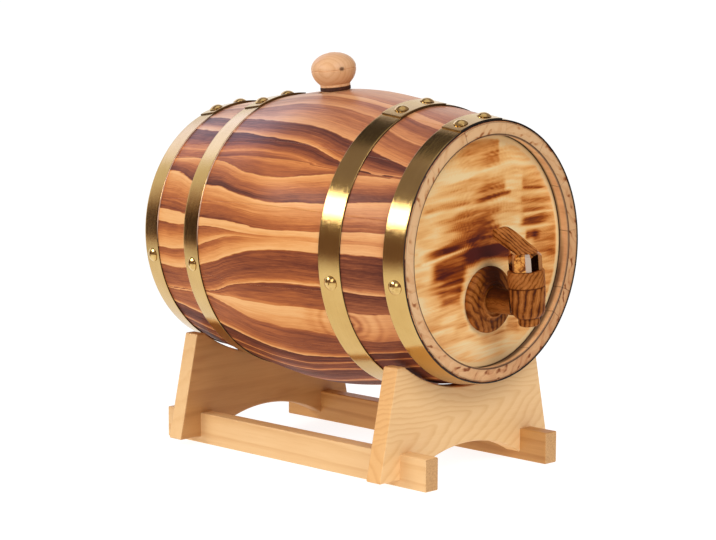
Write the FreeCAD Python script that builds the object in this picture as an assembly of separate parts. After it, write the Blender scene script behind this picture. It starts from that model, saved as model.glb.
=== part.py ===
import FreeCAD, Part
import os
import math

V = FreeCAD.Vector
os.makedirs("parts", exist_ok=True)

# ----------------------------------------------------------------------------
# Five-litre oak cask with a wooden tap, lying on a two-board pine cradle.
# Millimetres. +Z up, the cask's axis runs along Y, the tap end faces -Y.
# Origin: on the table, under the middle of the whole object's box.
# ----------------------------------------------------------------------------

# cask
CASK_Y = 19.75          # middle of the cask's length
CASK_Z = 155.6          # height of the cask's axis
CASK_ROLL = 7.0         # the cask lies turned by this much in its cradle, degrees
HALF_LEN = 130.0        # half the stave length
R_END = 89.1            # wood radius at the stave ends
R_H1 = 91.75            # wood radius at the end hoop's inner edge
R_H2 = 96.95            # wood radius at the quarter hoop's outer edge
R_H3 = 99.5             # wood radius at the quarter hoop's inner edge
BILGE_SLOPE = 0.145     # slope of the staves where they leave the quarter hoops
BILGE_BEND = 45.0       # the staves bend within this distance of the middle
Y_H1 = 113.5
Y_H2 = 78.4
Y_H3 = 61.0
WALL_END = 10.1         # stave thickness at the ends
WALL_BILGE = 11.0       # stave thickness at the bilge
# stave joints round the cask, degrees from +X towards +Z, seen from the tap end
JOINTS = [83.0, 111.0, 137.0, 163.5, 194.0, 220.0, 246.0, 272.0, 298.0,
          323.5, 337.0, 366.0, 390.5, 415.0, 443.0]

# heads
HEAD_OUT = 121.0        # outer face, from the cask's middle
HEAD_T = 9.0
HEAD_R = 80.0           # flat part of the head
CROZE_R = 83.6          # bottom of the groove in the staves
CROZE_Y0 = 114.4
CROZE_Y1 = 118.6

# hoops and rivets
HOOP_T = 0.9
LAP_FROM = 86.0         # the strip's second layer at its lap joint, degrees
LAP_TO = 113.0
RIVET_R = 5.0
RIVET_H = 2.5
SHANK_R = 1.4
SHANK_L = 6.0
LAP_RIVETS = [92.0, 107.0]
SIDE_RIVETS = [190.5, 350.5]

# bung
BUNG_ANG = 90.0 + CASK_ROLL
BUNG_Y = 10.0           # from the cask's middle
BUNG_LEAN = 1.5         # towards +Y, degrees
BUNG_R = 16.1
BUNG_EQ = 15.9          # widest point above the staves
BUNG_TOP = 27.2
BUNG_NECK_R = 10.8
BUNG_NECK_TOP = 4.9
PLUG_R = 9.9
PLUG_TIP_R = 8.6
PLUG_L = 24.0
GAP = 0.3               # room round pieces that move

# tap
TAP_X = 2.6
TAP_Z = 122.2
TAP_REACH = 158.0       # the valve's axis, from the cask's middle
FLANGE_R = 23.1
FLANGE_T = 5.0
HUB_R = 12.8
HUB_Y = 7.8             # the hub's lip, from the head's face
NECK_R = 8.6
BODY_R = 12.6
BODY_TOP = 24.0
BODY_BOT = -8.5
SPOUT_R = 7.3
SPOUT_BOT = -14.3
SPOUT_BORE = 3.0
KEY_PORT = 2.6
VALVE_BORE = 5.2
VALVE_R = 8.0
SHANK_TUBE_R = 5.0
COLLAR_R = 11.5         # across the collar's corners, half
COLLAR_H = 12.0
LEVER_REACH = 25.2
TANG_H = 1.2            # the key's square end inside the lever

# stand
BOARD_Y0 = 94.3         # inner face, from the cask's middle
BOARD_Y1 = 107.5        # outer face
BOARD_TOP = 81.3
BOARD_BOT = 4.6
HALF_TOP = 71.3
HALF_BOT = 88.0
SADDLE_R = 110.0
SADDLE_LOW = 60.9
ARCH_R = 112.0
ARCH_TOP = 20.6
RAIL_X0 = 56.0
RAIL_X1 = 68.3
RAIL_H = 22.4
RAIL_HALF = 131.1
EDGE_R = 1.2            # rounding of the stand's arrises


def save(name, shape):
    if shape.ShapeType == "Compound" and len(shape.Solids) == 1:
        shape = shape.Solids[0]
    bad = [i for i, s in enumerate(shape.Solids) if not s.isValid()]
    print("%-18s solids %2d  volume %10.1f  %s" % (
        name, len(shape.Solids), shape.Volume, "INVALID" if bad or not shape.isValid() else "ok"))
    shape.exportStep("parts/%s.step" % name)
    return shape


def at(r, y, deg):
    """Point at radius r, y from the cask's middle, angle deg from +X to +Z."""
    a = math.radians(deg)
    return V(r * math.cos(a), y + CASK_Y, CASK_Z + r * math.sin(a))


AX_P = V(0, CASK_Y, CASK_Z)
AX_D = V(0, -1, 0)


def revolve_cask(wire, deg):
    s = Part.Face(wire).revolve(AX_P, AX_D, deg)
    return s.Solids[0] if s.Solids else s


BILGE_DROP = BILGE_SLOPE * BILGE_BEND * 2 / math.pi
R_BILGE = R_H3 + BILGE_SLOPE * (Y_H3 - BILGE_BEND) + BILGE_DROP


def outer_r(y):
    """Wood radius: straight cones outside the quarter hoops, a bent middle."""
    y = abs(y)
    if y <= BILGE_BEND:
        return R_BILGE - BILGE_DROP * (1 - math.cos(math.pi / 2 * y / BILGE_BEND))
    if y <= Y_H3:
        return R_H3 + BILGE_SLOPE * (Y_H3 - y)
    pts = [(Y_H3, R_H3), (Y_H2, R_H2), (Y_H1, R_H1), (HALF_LEN, R_END)]
    for (a, ra), (b, rb) in zip(pts, pts[1:]):
        if y <= b + 1e-9:
            return ra + (rb - ra) * (y - a) / (b - a)
    return R_END


def bilge_edge(wall_end, wall_mid, deg, sign):
    """The bent stretch between the quarter hoops; sign +1 runs towards +Y."""
    a = math.radians(deg)
    d = V(math.cos(a), 0, math.sin(a))
    ys = [-Y_H3, -BILGE_BEND, -30.0, -15.0, 0.0, 15.0, 30.0, BILGE_BEND, Y_H3]
    if sign < 0:
        ys = ys[::-1]
    pts = []
    for y in ys:
        w = wall_mid + (wall_end - wall_mid) * (abs(y) / Y_H3) ** 2
        pts.append(at(outer_r(y) - w, y, deg))
    k = BILGE_SLOPE - 2 * (wall_end - wall_mid) / Y_H3
    t0 = V(0, 1, 0) * sign + d * k
    t1 = V(0, 1, 0) * sign - d * k
    c = Part.BSplineCurve()
    n = len(pts)
    c.interpolate(Points=pts, Tangents=[t0] + [V(0, 0, 0)] * (n - 2) + [t1],
                  TangentFlags=[True] + [False] * (n - 2) + [True])
    return c.toShape()


def seg(a, b):
    return Part.makeLine(a, b)


def stave_wire(deg):
    P = lambda r, y: at(r, y, deg)
    e = []
    e.append(seg(P(R_END, -HALF_LEN), P(R_H1, -Y_H1)))
    e.append(seg(P(R_H1, -Y_H1), P(R_H2, -Y_H2)))
    e.append(seg(P(R_H2, -Y_H2), P(R_H3, -Y_H3)))
    e.append(bilge_edge(0, 0, deg, 1))
    e.append(seg(P(R_H3, Y_H3), P(R_H2, Y_H2)))
    e.append(seg(P(R_H2, Y_H2), P(R_H1, Y_H1)))
    e.append(seg(P(R_H1, Y_H1), P(R_END, HALF_LEN)))
    # inner side, from the rear end to the front end
    ri_end = R_END - WALL_END                   # 79.0
    def ri(y):
        y = abs(y)
        if y >= Y_H1:
            r = R_H1 + (R_END - R_H1) * (y - Y_H1) / (HALF_LEN - Y_H1)
            return r - WALL_END
        return None
    ri_h1 = R_H1 - WALL_END
    ri_h3 = R_H3 - WALL_END - 0.4
    chain = [P(R_END, HALF_LEN), P(ri_end + 0.8, HALF_LEN), P(ri(HALF_LEN - 0.8), HALF_LEN - 0.8),
             P(ri(CROZE_Y1), CROZE_Y1), P(CROZE_R, CROZE_Y1), P(CROZE_R, CROZE_Y0), P(ri(CROZE_Y0), CROZE_Y0),
             P(ri_h1, Y_H1), P(ri_h3, Y_H3)]
    for a, b in zip(chain, chain[1:]):
        e.append(seg(a, b))
    e.append(bilge_edge(WALL_END + 0.4, WALL_BILGE, deg, -1))
    chain = [P(ri_h3, -Y_H3), P(ri_h1, -Y_H1), P(ri(CROZE_Y0), -CROZE_Y0), P(CROZE_R, -CROZE_Y0),
             P(CROZE_R, -CROZE_Y1), P(ri(CROZE_Y1), -CROZE_Y1), P(ri(HALF_LEN - 0.8), -HALF_LEN + 0.8),
             P(ri_end + 0.8, -HALF_LEN), P(R_END, -HALF_LEN)]
    for a, b in zip(chain, chain[1:]):
        e.append(seg(a, b))
    return Part.Wire(e)


# ---- frames for the bung and the tap ---------------------------------------
def cone(r0, r1, h, base):
    if abs(r0 - r1) < 1e-6:
        return Part.makeCylinder(r0, h, base)
    return Part.makeCone(r0, r1, h, base)


def lathe(pts, deg=360.0):
    """Closed outline of (radius, height) points or ('arc', mid, end) turned about Z."""
    edges = []
    cur = None
    first = None
    for p in pts + [pts[0]]:
        if cur is None:
            cur = first = V(p[0], 0, p[1])
            continue
        if p[0] == "spline":
            q = [V(k[0], 0, k[1]) for k in p[1]]
            c = Part.BSplineCurve()
            if q[-1].x == 0.0:
                c.interpolate(Points=q, Tangents=[q[1] - q[0]] + [V(0, 0, 0)] * (len(q) - 2) + [V(-1, 0, 0)],
                              TangentFlags=[False] * (len(q) - 1) + [True])
            else:
                c.interpolate(q)
            edges.append(c.toShape())
            cur = q[-1]
        elif p[0] == "arc":
            m = V(p[1][0], 0, p[1][1])
            n = V(p[2][0], 0, p[2][1])
            edges.append(Part.Arc(cur, m, n).toShape())
            cur = n
        else:
            n = V(p[0], 0, p[1])
            if (n - cur).Length > 1e-7:
                edges.append(Part.makeLine(cur, n))
            cur = n
    f = Part.Face(Part.Wire(edges))
    s = f.revolve(V(0, 0, 0), V(0, 0, 1), deg)
    return s.Solids[0] if s.Solids else s


bung_place = FreeCAD.Placement(
    at(outer_r(BUNG_Y), BUNG_Y, BUNG_ANG),
    FreeCAD.Rotation(V(0, 1, 0), -CASK_ROLL).multiply(FreeCAD.Rotation(V(1, 0, 0), -BUNG_LEAN)))

tap_place = FreeCAD.Placement(V(TAP_X, CASK_Y, TAP_Z), FreeCAD.Rotation(V(0, 1, 0), -CASK_ROLL))


def placed(shape, pl):
    s = shape.copy()
    s.Placement = pl.multiply(s.Placement)
    return s


# ---- bung ------------------------------------------------------------------
def ball_curve(w0, w1, b, n=9):
    """Points of the ball's side between two heights; b is the half height."""
    pts = []
    for i in range(n + 1):
        u = i / n
        # even steps of angle on the ellipse
        a0 = math.asin((w0 - BUNG_EQ) / b)
        a1 = math.asin(min(1.0, (w1 - BUNG_EQ) / b))
        a = a0 + (a1 - a0) * u
        pts.append((BUNG_R * math.cos(a) if u < 1 or w1 < BUNG_TOP else 0.0, BUNG_EQ + b * math.sin(a)))
    return pts


BALL_LOW_B = (BUNG_EQ - BUNG_NECK_TOP) / math.sqrt(1 - (BUNG_NECK_R / BUNG_R) ** 2)
low = ball_curve(BUNG_NECK_TOP, BUNG_EQ - 0.75, BALL_LOW_B)
high = ball_curve(BUNG_EQ + 0.05, BUNG_TOP, BUNG_TOP - BUNG_EQ)
bung_local = lathe([
    (0, -PLUG_L), (PLUG_TIP_R - 1.0, -PLUG_L), (PLUG_TIP_R, -PLUG_L + 1.0), (PLUG_R, 0.3), (PLUG_R, 3.0),
    (BUNG_NECK_R - 0.3, 3.0), (BUNG_NECK_R, 3.3), low[0], ("spline", low), (BUNG_R - 0.4, BUNG_EQ - 0.35),
    high[0], ("spline", high)])
seal_local = lathe([(PLUG_R, 0.35), (BUNG_NECK_R - 0.25, 0.35), (BUNG_NECK_R + 0.15, 0.75), (BUNG_NECK_R + 0.15, 2.6),
                    (BUNG_NECK_R - 0.25, 3.0), (PLUG_R, 3.0)])
hole_local = cone(PLUG_TIP_R + GAP, PLUG_R + GAP, PLUG_L + 0.3, V(0, 0, -PLUG_L)).fuse(
    Part.makeCylinder(PLUG_R + GAP, 8, V(0, 0, 0.29)))

# ---- tap -------------------------------------------------------------------
TY = -TAP_REACH            # valve axis, local y from the cask's middle
HY = -HEAD_OUT             # head's outer face
HI = -(HEAD_OUT - HEAD_T)  # head's inner face


def cyl_y(r, y0, y1, x=0.0, z=0.0):
    return Part.makeCylinder(r, y1 - y0, V(x, y0, z), V(0, 1, 0))


def cyl_z(r, z0, z1, x=0.0, y=TY):
    return Part.makeCylinder(r, z1 - z0, V(x, y, z0))


def lathe_y(pts):
    """Closed outline of (radius, y) points turned about the local Y axis."""
    s = lathe([(p[0], p[1]) if p[0] != "arc" else p for p in pts])
    s.rotate(V(0, 0, 0), V(1, 0, 0), -90)      # +Z becomes +Y
    return s


def lathe_t(pts):
    s = lathe(pts)
    s.translate(V(0, TY, 0))
    return s


# wooden flange: a disc with a lipped hub, bored for the shank, pocket for the seal
flange = lathe_y([
    (SHANK_TUBE_R, HY - 1.5), (14.0, HY - 1.5), (14.0, HY), (FLANGE_R - 0.8, HY),
    ("arc", (FLANGE_R, HY - 2.1), (FLANGE_R - 1.3, HY - FLANGE_T + 0.7)),
    ("arc", (FLANGE_R - 2.6, HY - FLANGE_T), (FLANGE_R - 4.0, HY - FLANGE_T - 0.1)),
    (HUB_R + 4.2, HY - FLANGE_T - 0.4),
    ("arc", (HUB_R + 1.5, HY - FLANGE_T - 0.75), (HUB_R, HY - HUB_Y + 1.3)),
    ("arc", (HUB_R - 0.5, HY - HUB_Y + 0.2), (HUB_R - 1.5, HY - HUB_Y)),
    (HUB_R - 2.4, HY - HUB_Y + 1.5), (SHANK_TUBE_R, HY - HUB_Y + 1.5)])
# wooden neck sleeve, saddled on the barrel
neck = cyl_y(NECK_R, TY + 4.0, HY - HUB_Y + 1.5).cut(cyl_z(BODY_R, -30, 30)).cut(
    cyl_y(SHANK_TUBE_R, TY, 0)).cut(cyl_y(7.0, TY, TY + BODY_R - 0.6))
neck = max(neck.Solids, key=lambda s: s.Volume)
# wooden barrel
body = lathe_t([
    (6.6, BODY_BOT), (8.2, BODY_BOT), ("arc", (10.2, BODY_BOT + 2.0), (BODY_R - 1.2, BODY_BOT + 6.0)),
    (BODY_R - 0.3, 7.5), (BODY_R - 0.1, 12.3), (BODY_R - 0.6, 12.9), (BODY_R, 13.4), (BODY_R, BODY_TOP - 1.0),
    ("arc", (BODY_R - 0.3, BODY_TOP - 0.3), (BODY_R - 1.0, BODY_TOP)), (4.8, BODY_TOP), (4.8, 19.0), (VALVE_R, 19.0),
    (VALVE_R, -3.5), (6.6, -3.5)]).cut(cyl_y(7.0, TY, TY + BODY_R + 2))
# wooden spout tip
spout = lathe_t([
    (4.6, BODY_BOT), (SPOUT_R, BODY_BOT), (SPOUT_R, SPOUT_BOT + 1.8),
    ("arc", (SPOUT_R - 0.55, SPOUT_BOT + 0.55), (SPOUT_R - 1.8, SPOUT_BOT)), (4.6, SPOUT_BOT)])
# metal valve inside the barrel
valve = lathe_t([
    (SPOUT_BORE, SPOUT_BOT), (4.6, SPOUT_BOT), (4.6, BODY_BOT), (6.6, BODY_BOT), (6.6, -3.5), (VALVE_R, -3.5),
    (VALVE_R, 18.0), (6.8, 18.0), (6.8, 9.5), (VALVE_BORE, 9.5), (VALVE_BORE, -6.5), (SPOUT_BORE, -6.5)])
boss = cyl_y(7.0, TY + 5.5, TY + BODY_R - 0.6).cut(cyl_z(VALVE_R - 0.5, -20, 20))
valve = valve.fuse(boss).cut(cyl_y(SHANK_TUBE_R, TY + 6.4, TY + 20)).cut(cyl_y(SPOUT_BORE, TY, TY + 8))
valve = valve.removeSplitter()
# threaded shank tube through the head
shank = cyl_y(SHANK_TUBE_R, TY + 6.4, HI + 14.0).cut(cyl_y(SPOUT_BORE, TY, 0))
# nut, washers
nut = Part.Face(Part.makePolygon([V(9.8 * math.cos(math.radians(a)), HI + 2.0, 9.8 * math.sin(math.radians(a)))
                                  for a in range(0, 361, 60)])).extrude(V(0, 6.5, 0))
nut = nut.cut(cyl_y(SHANK_TUBE_R, HI, HI + 20))
washer_in = cyl_y(11.5, HI, HI + 2.0).cut(cyl_y(SHANK_TUBE_R, HI - 1, HI + 5))
washer_out = cyl_y(14.0, HY - 1.5, HY).cut(cyl_y(SHANK_TUBE_R, HY - 3, HY + 3))
# gland ring round the key's stem
STEM_R = 3.6
gland = lathe_t([(STEM_R + 0.05, 9.5), (6.8, 9.5), (6.8, 16.0), (STEM_R + 0.05, 16.0)])
# key: ported plug, stem and square tang; the port faces +X while the tap is shut
PLUG_CL = 0.05
key = lathe_t([
    (0, -6.35), (VALVE_BORE - PLUG_CL, -6.35), (VALVE_BORE - PLUG_CL, -5.9), (VALVE_BORE - 1.2, -5.9), (VALVE_BORE - 1.2, -4.1),
    (VALVE_BORE - PLUG_CL, -4.1), (VALVE_BORE - PLUG_CL, 4.1), (VALVE_BORE - 1.2, 4.1), (VALVE_BORE - 1.2, 5.9),
    (VALVE_BORE - PLUG_CL, 5.9), (VALVE_BORE - PLUG_CL, 9.2), (STEM_R, 9.2), (STEM_R, BODY_TOP + GAP + COLLAR_H), (0, BODY_TOP + GAP + COLLAR_H)])
key = key.cut(cyl_z(KEY_PORT, -7, 0)).cut(Part.makeCylinder(KEY_PORT, 10, V(0, TY, 0), V(1, 0, 0)))
key = key.cut(Part.makeSphere(KEY_PORT, V(0, TY, 0)))
LT0 = BODY_TOP + GAP + COLLAR_H
key = key.fuse(Part.makeBox(5.0, 5.0, TANG_H + 0.5, V(-2.5, TY - 2.5, LT0 - 0.5))).removeSplitter()


def oring(t):
    return lathe_t([(VALVE_BORE - 1.2, t - 0.85), (VALVE_BORE - 0.5, t - 0.85),
                    ("arc", (VALVE_BORE - 0.06, t), (VALVE_BORE - 0.5, t + 0.85)), (VALVE_BORE - 1.2, t + 0.85)])


orings = Part.makeCompound([oring(-5.0), oring(5.0)])
# polished metal collar between the barrel and the lever: a hexagon with its flats square to the
# cask's axis, turned to a cone at its shoulder
hexagon = Part.Face(Part.makePolygon([V(COLLAR_R * math.cos(math.radians(k)), TY + COLLAR_R * math.sin(math.radians(k)),
                                        BODY_TOP + GAP) for k in range(0, 361, 60)])).extrude(V(0, 0, COLLAR_H))
collar = hexagon.common(lathe_t([
    (STEM_R, BODY_TOP + GAP), (COLLAR_R - 0.7, BODY_TOP + GAP), (COLLAR_R + 0.3, BODY_TOP + GAP + 0.7),
    (COLLAR_R + 0.3, LT0 - 3.0), (COLLAR_R - 2.6, LT0), (STEM_R, LT0)]))


# wooden lever: a paddle that leans up towards the cask
def lever_shape():
    r0 = COLLAR_R - 2.8
    tipw = 6.4
    y0, y1 = TY, TY + LEVER_REACH - tipw
    # plan outline: round over the collar, tapering to a round tip
    d = y1 - y0
    s = (r0 - tipw) / d
    a = math.asin(s)
    pa = V(r0 * math.cos(a), y0 + r0 * math.sin(a), 0)
    pb = V(tipw * math.cos(a), y1 + tipw * math.sin(a), 0)
    e = [Part.makeLine(pa, pb),
         Part.Arc(pb, V(0, y1 + tipw, 0), V(-pb.x, pb.y, 0)).toShape(),
         Part.makeLine(V(-pb.x, pb.y, 0), V(-pa.x, pa.y, 0)),
         Part.Arc(V(-pa.x, pa.y, 0), V(0, y0 - r0, 0), pa).toShape()]
    plan = Part.Face(Part.Wire(e)).extrude(V(0, 0, 60))
    # side outline: thin over the collar's front, humped towards the tip; the underside
    # lies flat on the collar and then rises
    yf, yb = TY - r0 - 1, TY + LEVER_REACH + 1
    top = [V(0, TY + d, LT0 + h) for d, h in
           [(-r0 - 1, 1.1), (-6.0, 1.3), (-2.5, 1.9), (0.0, 3.1), (5.0, 6.5), (10.0, 10.1), (15.0, 13.2), (18.5, 14.6),
            (21.5, 14.8), (24.0, 13.7), (LEVER_REACH + 1, 11.8)]]
    und = LT0 + 9.6
    q = [V(0, yf, LT0), V(0, TY + 1.0, LT0)]
    crest = Part.BSplineCurve()
    crest.interpolate(top)
    side_e = [Part.makeLine(q[0], q[1]),
              Part.makeLine(q[1], V(0, yb, und)),
              Part.makeLine(V(0, yb, und), top[-1]),
              crest.toShape(),
              Part.makeLine(top[0], q[0])]
    side = Part.Face(Part.Wire(side_e))
    side.translate(V(-30, 0, 0))
    side = side.extrude(V(60, 0, 0))
    lv = plan.common(side)
    lv = max(lv.Solids, key=lambda k: k.Volume)
    # ease the arrises
    es = [ed for ed in lv.Edges if ed.BoundBox.ZMax > LT0 + 1.5 and
          not (abs(ed.BoundBox.XLength) < 1e-6 and abs(ed.BoundBox.YLength) < 1e-6)]
    for r in (0.9, 0.8, 0.7, 0.6, 0.5):
        try:
            f = lv.makeFillet(r, es)
            if f.isValid() and f.Volume > 0.8 * lv.Volume:
                lv = f.Solids[0]
                break
        except Exception:
            continue
    return lv.cut(Part.makeBox(5.0, 5.0, TANG_H, V(-2.5, TY - 2.5, LT0)))


lever = lever_shape()

# ---- cask ------------------------------------------------------------------
shapes = {}
hole = placed(hole_local, bung_place)
rivet_axes = []           # (hoop number, angle, y, layers)
HOOPS = [(-HALF_LEN, -Y_H1), (-Y_H2, -Y_H3), (Y_H3, Y_H2), (Y_H1, HALF_LEN)]


def hoop_wire(y0, y1, deg, lo, hi):
    return Part.makePolygon([at(outer_r(y0) + lo, y0, deg), at(outer_r(y0) + hi, y0, deg),
                             at(outer_r(y1) + hi, y1, deg), at(outer_r(y1) + lo, y1, deg),
                             at(outer_r(y0) + lo, y0, deg)])


def rivet_frame(y, deg, lift):
    """Base point on the strip and the outward normal of the cone there."""
    k = (outer_r(y + 1) - outer_r(y - 1)) / 2.0
    a = math.radians(deg)
    n = V(math.cos(a), -k, math.sin(a))
    n.normalize()
    return at(outer_r(y), y, deg) + n * lift, n


def rivet(y, deg, lift):
    p, n = rivet_frame(y, deg, lift)
    rise = RIVET_H - 0.35
    ball = (RIVET_R ** 2 + rise ** 2) / (2 * rise)
    half = math.asin(RIVET_R / ball) / 2
    m = (ball * math.sin(half), RIVET_H - ball + ball * math.cos(half))
    s = lathe([(0, -SHANK_L), (SHANK_R, -SHANK_L), (SHANK_R, 0), (RIVET_R, 0), (RIVET_R, 0.35),
               ("arc", m, (0, RIVET_H))])
    s.Placement = FreeCAD.Placement(p, FreeCAD.Rotation(V(0, 0, 1), n))
    return s


def drill(y, deg, lift):
    p, n = rivet_frame(y, deg, lift)
    return Part.makeCylinder(SHANK_R, SHANK_L + 3.0, p - n * SHANK_L, n)


drills = []
hoops = {}
for i, (y0, y1) in enumerate(HOOPS):
    ring = revolve_cask(hoop_wire(y0, y1, 0, 0.0, HOOP_T), 360)
    lap = revolve_cask(hoop_wire(y0, y1, LAP_FROM, HOOP_T, 2 * HOOP_T), LAP_TO - LAP_FROM)
    h = ring.fuse(lap)
    ym = (y0 + y1) / 2
    rv = []
    for a in LAP_RIVETS:
        rv.append((ym, a, 2 * HOOP_T + 0.02))
    for a in SIDE_RIVETS:
        rv.append((ym, a, HOOP_T + 0.02))
    for r in rv:
        dr = drill(*r)
        drills.append(dr)
        h = h.cut(dr)
    hoops[i + 1] = (h, [rivet(*r) for r in rv])

N = len(JOINTS) - 1
for i in range(N):
    a0, a1 = JOINTS[i], JOINTS[i + 1]
    s = revolve_cask(stave_wire(a0), a1 - a0)
    if s.Volume < 0:
        s.reverse()
    if i == 0:
        s = s.cut(hole)
    for dr in drills:
        if s.BoundBox.intersect(dr.BoundBox):
            s = s.cut(dr)
    shapes["stave_%02d" % (i + 1)] = s


def head(sign, bore=None):
    pts = [(0, HEAD_OUT), (HEAD_R, HEAD_OUT), (HEAD_R + 0.35, HEAD_OUT - 0.35), (HEAD_R + 0.6, CROZE_Y1 - 0.1),
           (CROZE_R - 0.2, CROZE_Y1 - 0.1), (CROZE_R - 0.2, CROZE_Y0 + 0.1), (HEAD_R + 1.3, CROZE_Y0 + 0.1),
           (HEAD_R + 1.3, HEAD_OUT - HEAD_T), (0, HEAD_OUT - HEAD_T)]
    w = Part.makePolygon([at(r, sign * y, 0) for r, y in pts + pts[:1]])
    s = revolve_cask(w, 360)
    if bore is not None:
        s = s.cut(bore)
    return s


shapes["head_front"] = head(-1, placed(cyl_y(SHANK_TUBE_R, HY - 5, HI + 5), tap_place))
shapes["head_rear"] = head(1)
for k, (h, rv) in hoops.items():
    shapes["hoop_%d" % k] = h
    shapes["rivets_hoop_%d" % k] = Part.makeCompound(rv)
shapes["bung"] = placed(bung_local, bung_place)
shapes["bung_seal"] = placed(seal_local, bung_place)
for n, s in (("tap_flange", flange), ("tap_neck", neck), ("tap_barrel", body), ("tap_spout", spout),
             ("tap_valve", valve), ("tap_shank", shank), ("tap_nut", nut), ("tap_washer_inner", washer_in),
             ("tap_washer_outer", washer_out), ("tap_gland", gland), ("tap_key", key), ("key_orings", orings),
             ("tap_collar", collar), ("tap_lever", lever)):
    shapes[n] = placed(s, tap_place)


# ---- stand -----------------------------------------------------------------
def board(yc0, yc1):
    half = lambda z: HALF_TOP + (HALF_BOT - HALF_TOP) * (BOARD_TOP - z) / (BOARD_TOP - BOARD_BOT)
    scz = SADDLE_LOW + SADDLE_R
    sx = math.sqrt(SADDLE_R ** 2 - (scz - BOARD_TOP) ** 2)
    az = ARCH_TOP - (ARCH_R - math.sqrt(ARCH_R ** 2 - RAIL_X0 ** 2))
    y = yc0
    P = lambda x, z: V(x, y, z)
    e = [Part.makeLine(P(-HALF_BOT, BOARD_BOT), P(-RAIL_X1, BOARD_BOT)),
         Part.makeLine(P(-RAIL_X1, BOARD_BOT), P(-RAIL_X1, RAIL_H)),
         Part.makeLine(P(-RAIL_X1, RAIL_H), P(-RAIL_X0, RAIL_H)),
         Part.makeLine(P(-RAIL_X0, RAIL_H), P(-RAIL_X0, az)),
         Part.Arc(P(-RAIL_X0, az), P(0, ARCH_TOP), P(RAIL_X0, az)).toShape(),
         Part.makeLine(P(RAIL_X0, az), P(RAIL_X0, RAIL_H)),
         Part.makeLine(P(RAIL_X0, RAIL_H), P(RAIL_X1, RAIL_H)),
         Part.makeLine(P(RAIL_X1, RAIL_H), P(RAIL_X1, BOARD_BOT)),
         Part.makeLine(P(RAIL_X1, BOARD_BOT), P(HALF_BOT, BOARD_BOT)),
         Part.makeLine(P(HALF_BOT, BOARD_BOT), P(HALF_TOP, BOARD_TOP)),
         Part.makeLine(P(HALF_TOP, BOARD_TOP), P(sx, BOARD_TOP)),
         Part.Arc(P(sx, BOARD_TOP), P(0, SADDLE_LOW), P(-sx, BOARD_TOP)).toShape(),
         Part.makeLine(P(-sx, BOARD_TOP), P(-HALF_TOP, BOARD_TOP)),
         Part.makeLine(P(-HALF_TOP, BOARD_TOP), P(-HALF_BOT, BOARD_BOT))]
    s = Part.Face(Part.Wire(e)).extrude(V(0, yc1 - yc0, 0))
    # round the arrises that are not in the rail notches
    es = []
    for ed in s.Edges:
        b = ed.BoundBox
        m = b.Center
        in_notch = (RAIL_X0 - 0.1 <= abs(m.x) <= RAIL_X1 + 0.1) and m.z <= RAIL_H + 0.1
        along_y = b.XLength < 1e-6 and b.ZLength < 1e-6
        if in_notch:
            continue
        if along_y and m.z < BOARD_BOT + 12 and abs(m.x) < RAIL_X1 + 1:
            continue
        if along_y and abs(abs(m.x) - sx) < 0.5:
            continue
        es.append(ed)
    for r in (EDGE_R, 0.8, 0.5):
        try:
            f = s.makeFillet(r, es)
            if f.isValid() and f.Volume > 0.9 * s.Volume:
                return f.Solids[0]
        except Exception as ex:
            print("fillet", r, ex)
    return s


def rail(sign):
    x0, x1 = sorted((sign * RAIL_X0, sign * RAIL_X1))
    b = Part.makeBox(x1 - x0, 2 * RAIL_HALF, RAIL_H, V(x0, CASK_Y - RAIL_HALF, 0))
    es = [ed for ed in b.Edges]
    return b.makeFillet(EDGE_R * 0.7, es).Solids[0]


def screw(x, y):
    pts = [(0, 0.5), (3.9, 0.5), (3.9, 0.9), (1.9, 3.2), (1.9, 40.0), (0, 43.0)]
    s = lathe(pts)
    s.translate(V(x, y, 0))
    return s


def screw_hole(x, y):
    pts = [(0, -1), (3.9, -1), (3.9, 0.9), (1.9, 3.2), (1.9, 40.0), (0, 43.0)]
    s = lathe(pts)
    s.translate(V(x, y, 0))
    return s


sx0 = (RAIL_X0 + RAIL_X1) / 2
ym = (BOARD_Y0 + BOARD_Y1) / 2
spots = [(i * sx0, CASK_Y + j * ym) for i in (-1, 1) for j in (-1, 1)]
holes = [screw_hole(*p) for p in spots]
front = board(CASK_Y - BOARD_Y1, CASK_Y - BOARD_Y0)
rear = board(CASK_Y + BOARD_Y0, CASK_Y + BOARD_Y1)
rl, rr = rail(-1), rail(1)
for h in holes:
    front, rear, rl, rr = front.cut(h), rear.cut(h), rl.cut(h), rr.cut(h)
shapes["saddle_front"] = front
shapes["saddle_rear"] = rear
shapes["rail_left"] = rl
shapes["rail_right"] = rr
shapes["stand_screws"] = Part.makeCompound([screw(*p) for p in spots])

box = None
for n in sorted(shapes):
    s = save(n, shapes[n])
    if box is None:
        box = FreeCAD.BoundBox(s.BoundBox)
    else:
        box.add(s.BoundBox)
print("nodes", len(shapes), "box", box)
print("bung axis point", bung_place.Base, "dir", bung_place.Rotation.multVec(V(0, 0, 1)))
print("key axis point", tap_place.multVec(V(0, TY, 0)), "dir", tap_place.Rotation.multVec(V(0, 0, 1)))
print("spout mouth", tap_place.multVec(V(0, TY, SPOUT_BOT)))
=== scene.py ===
import bpy
import math
import numpy as np
from mathutils import Vector, Matrix


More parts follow.
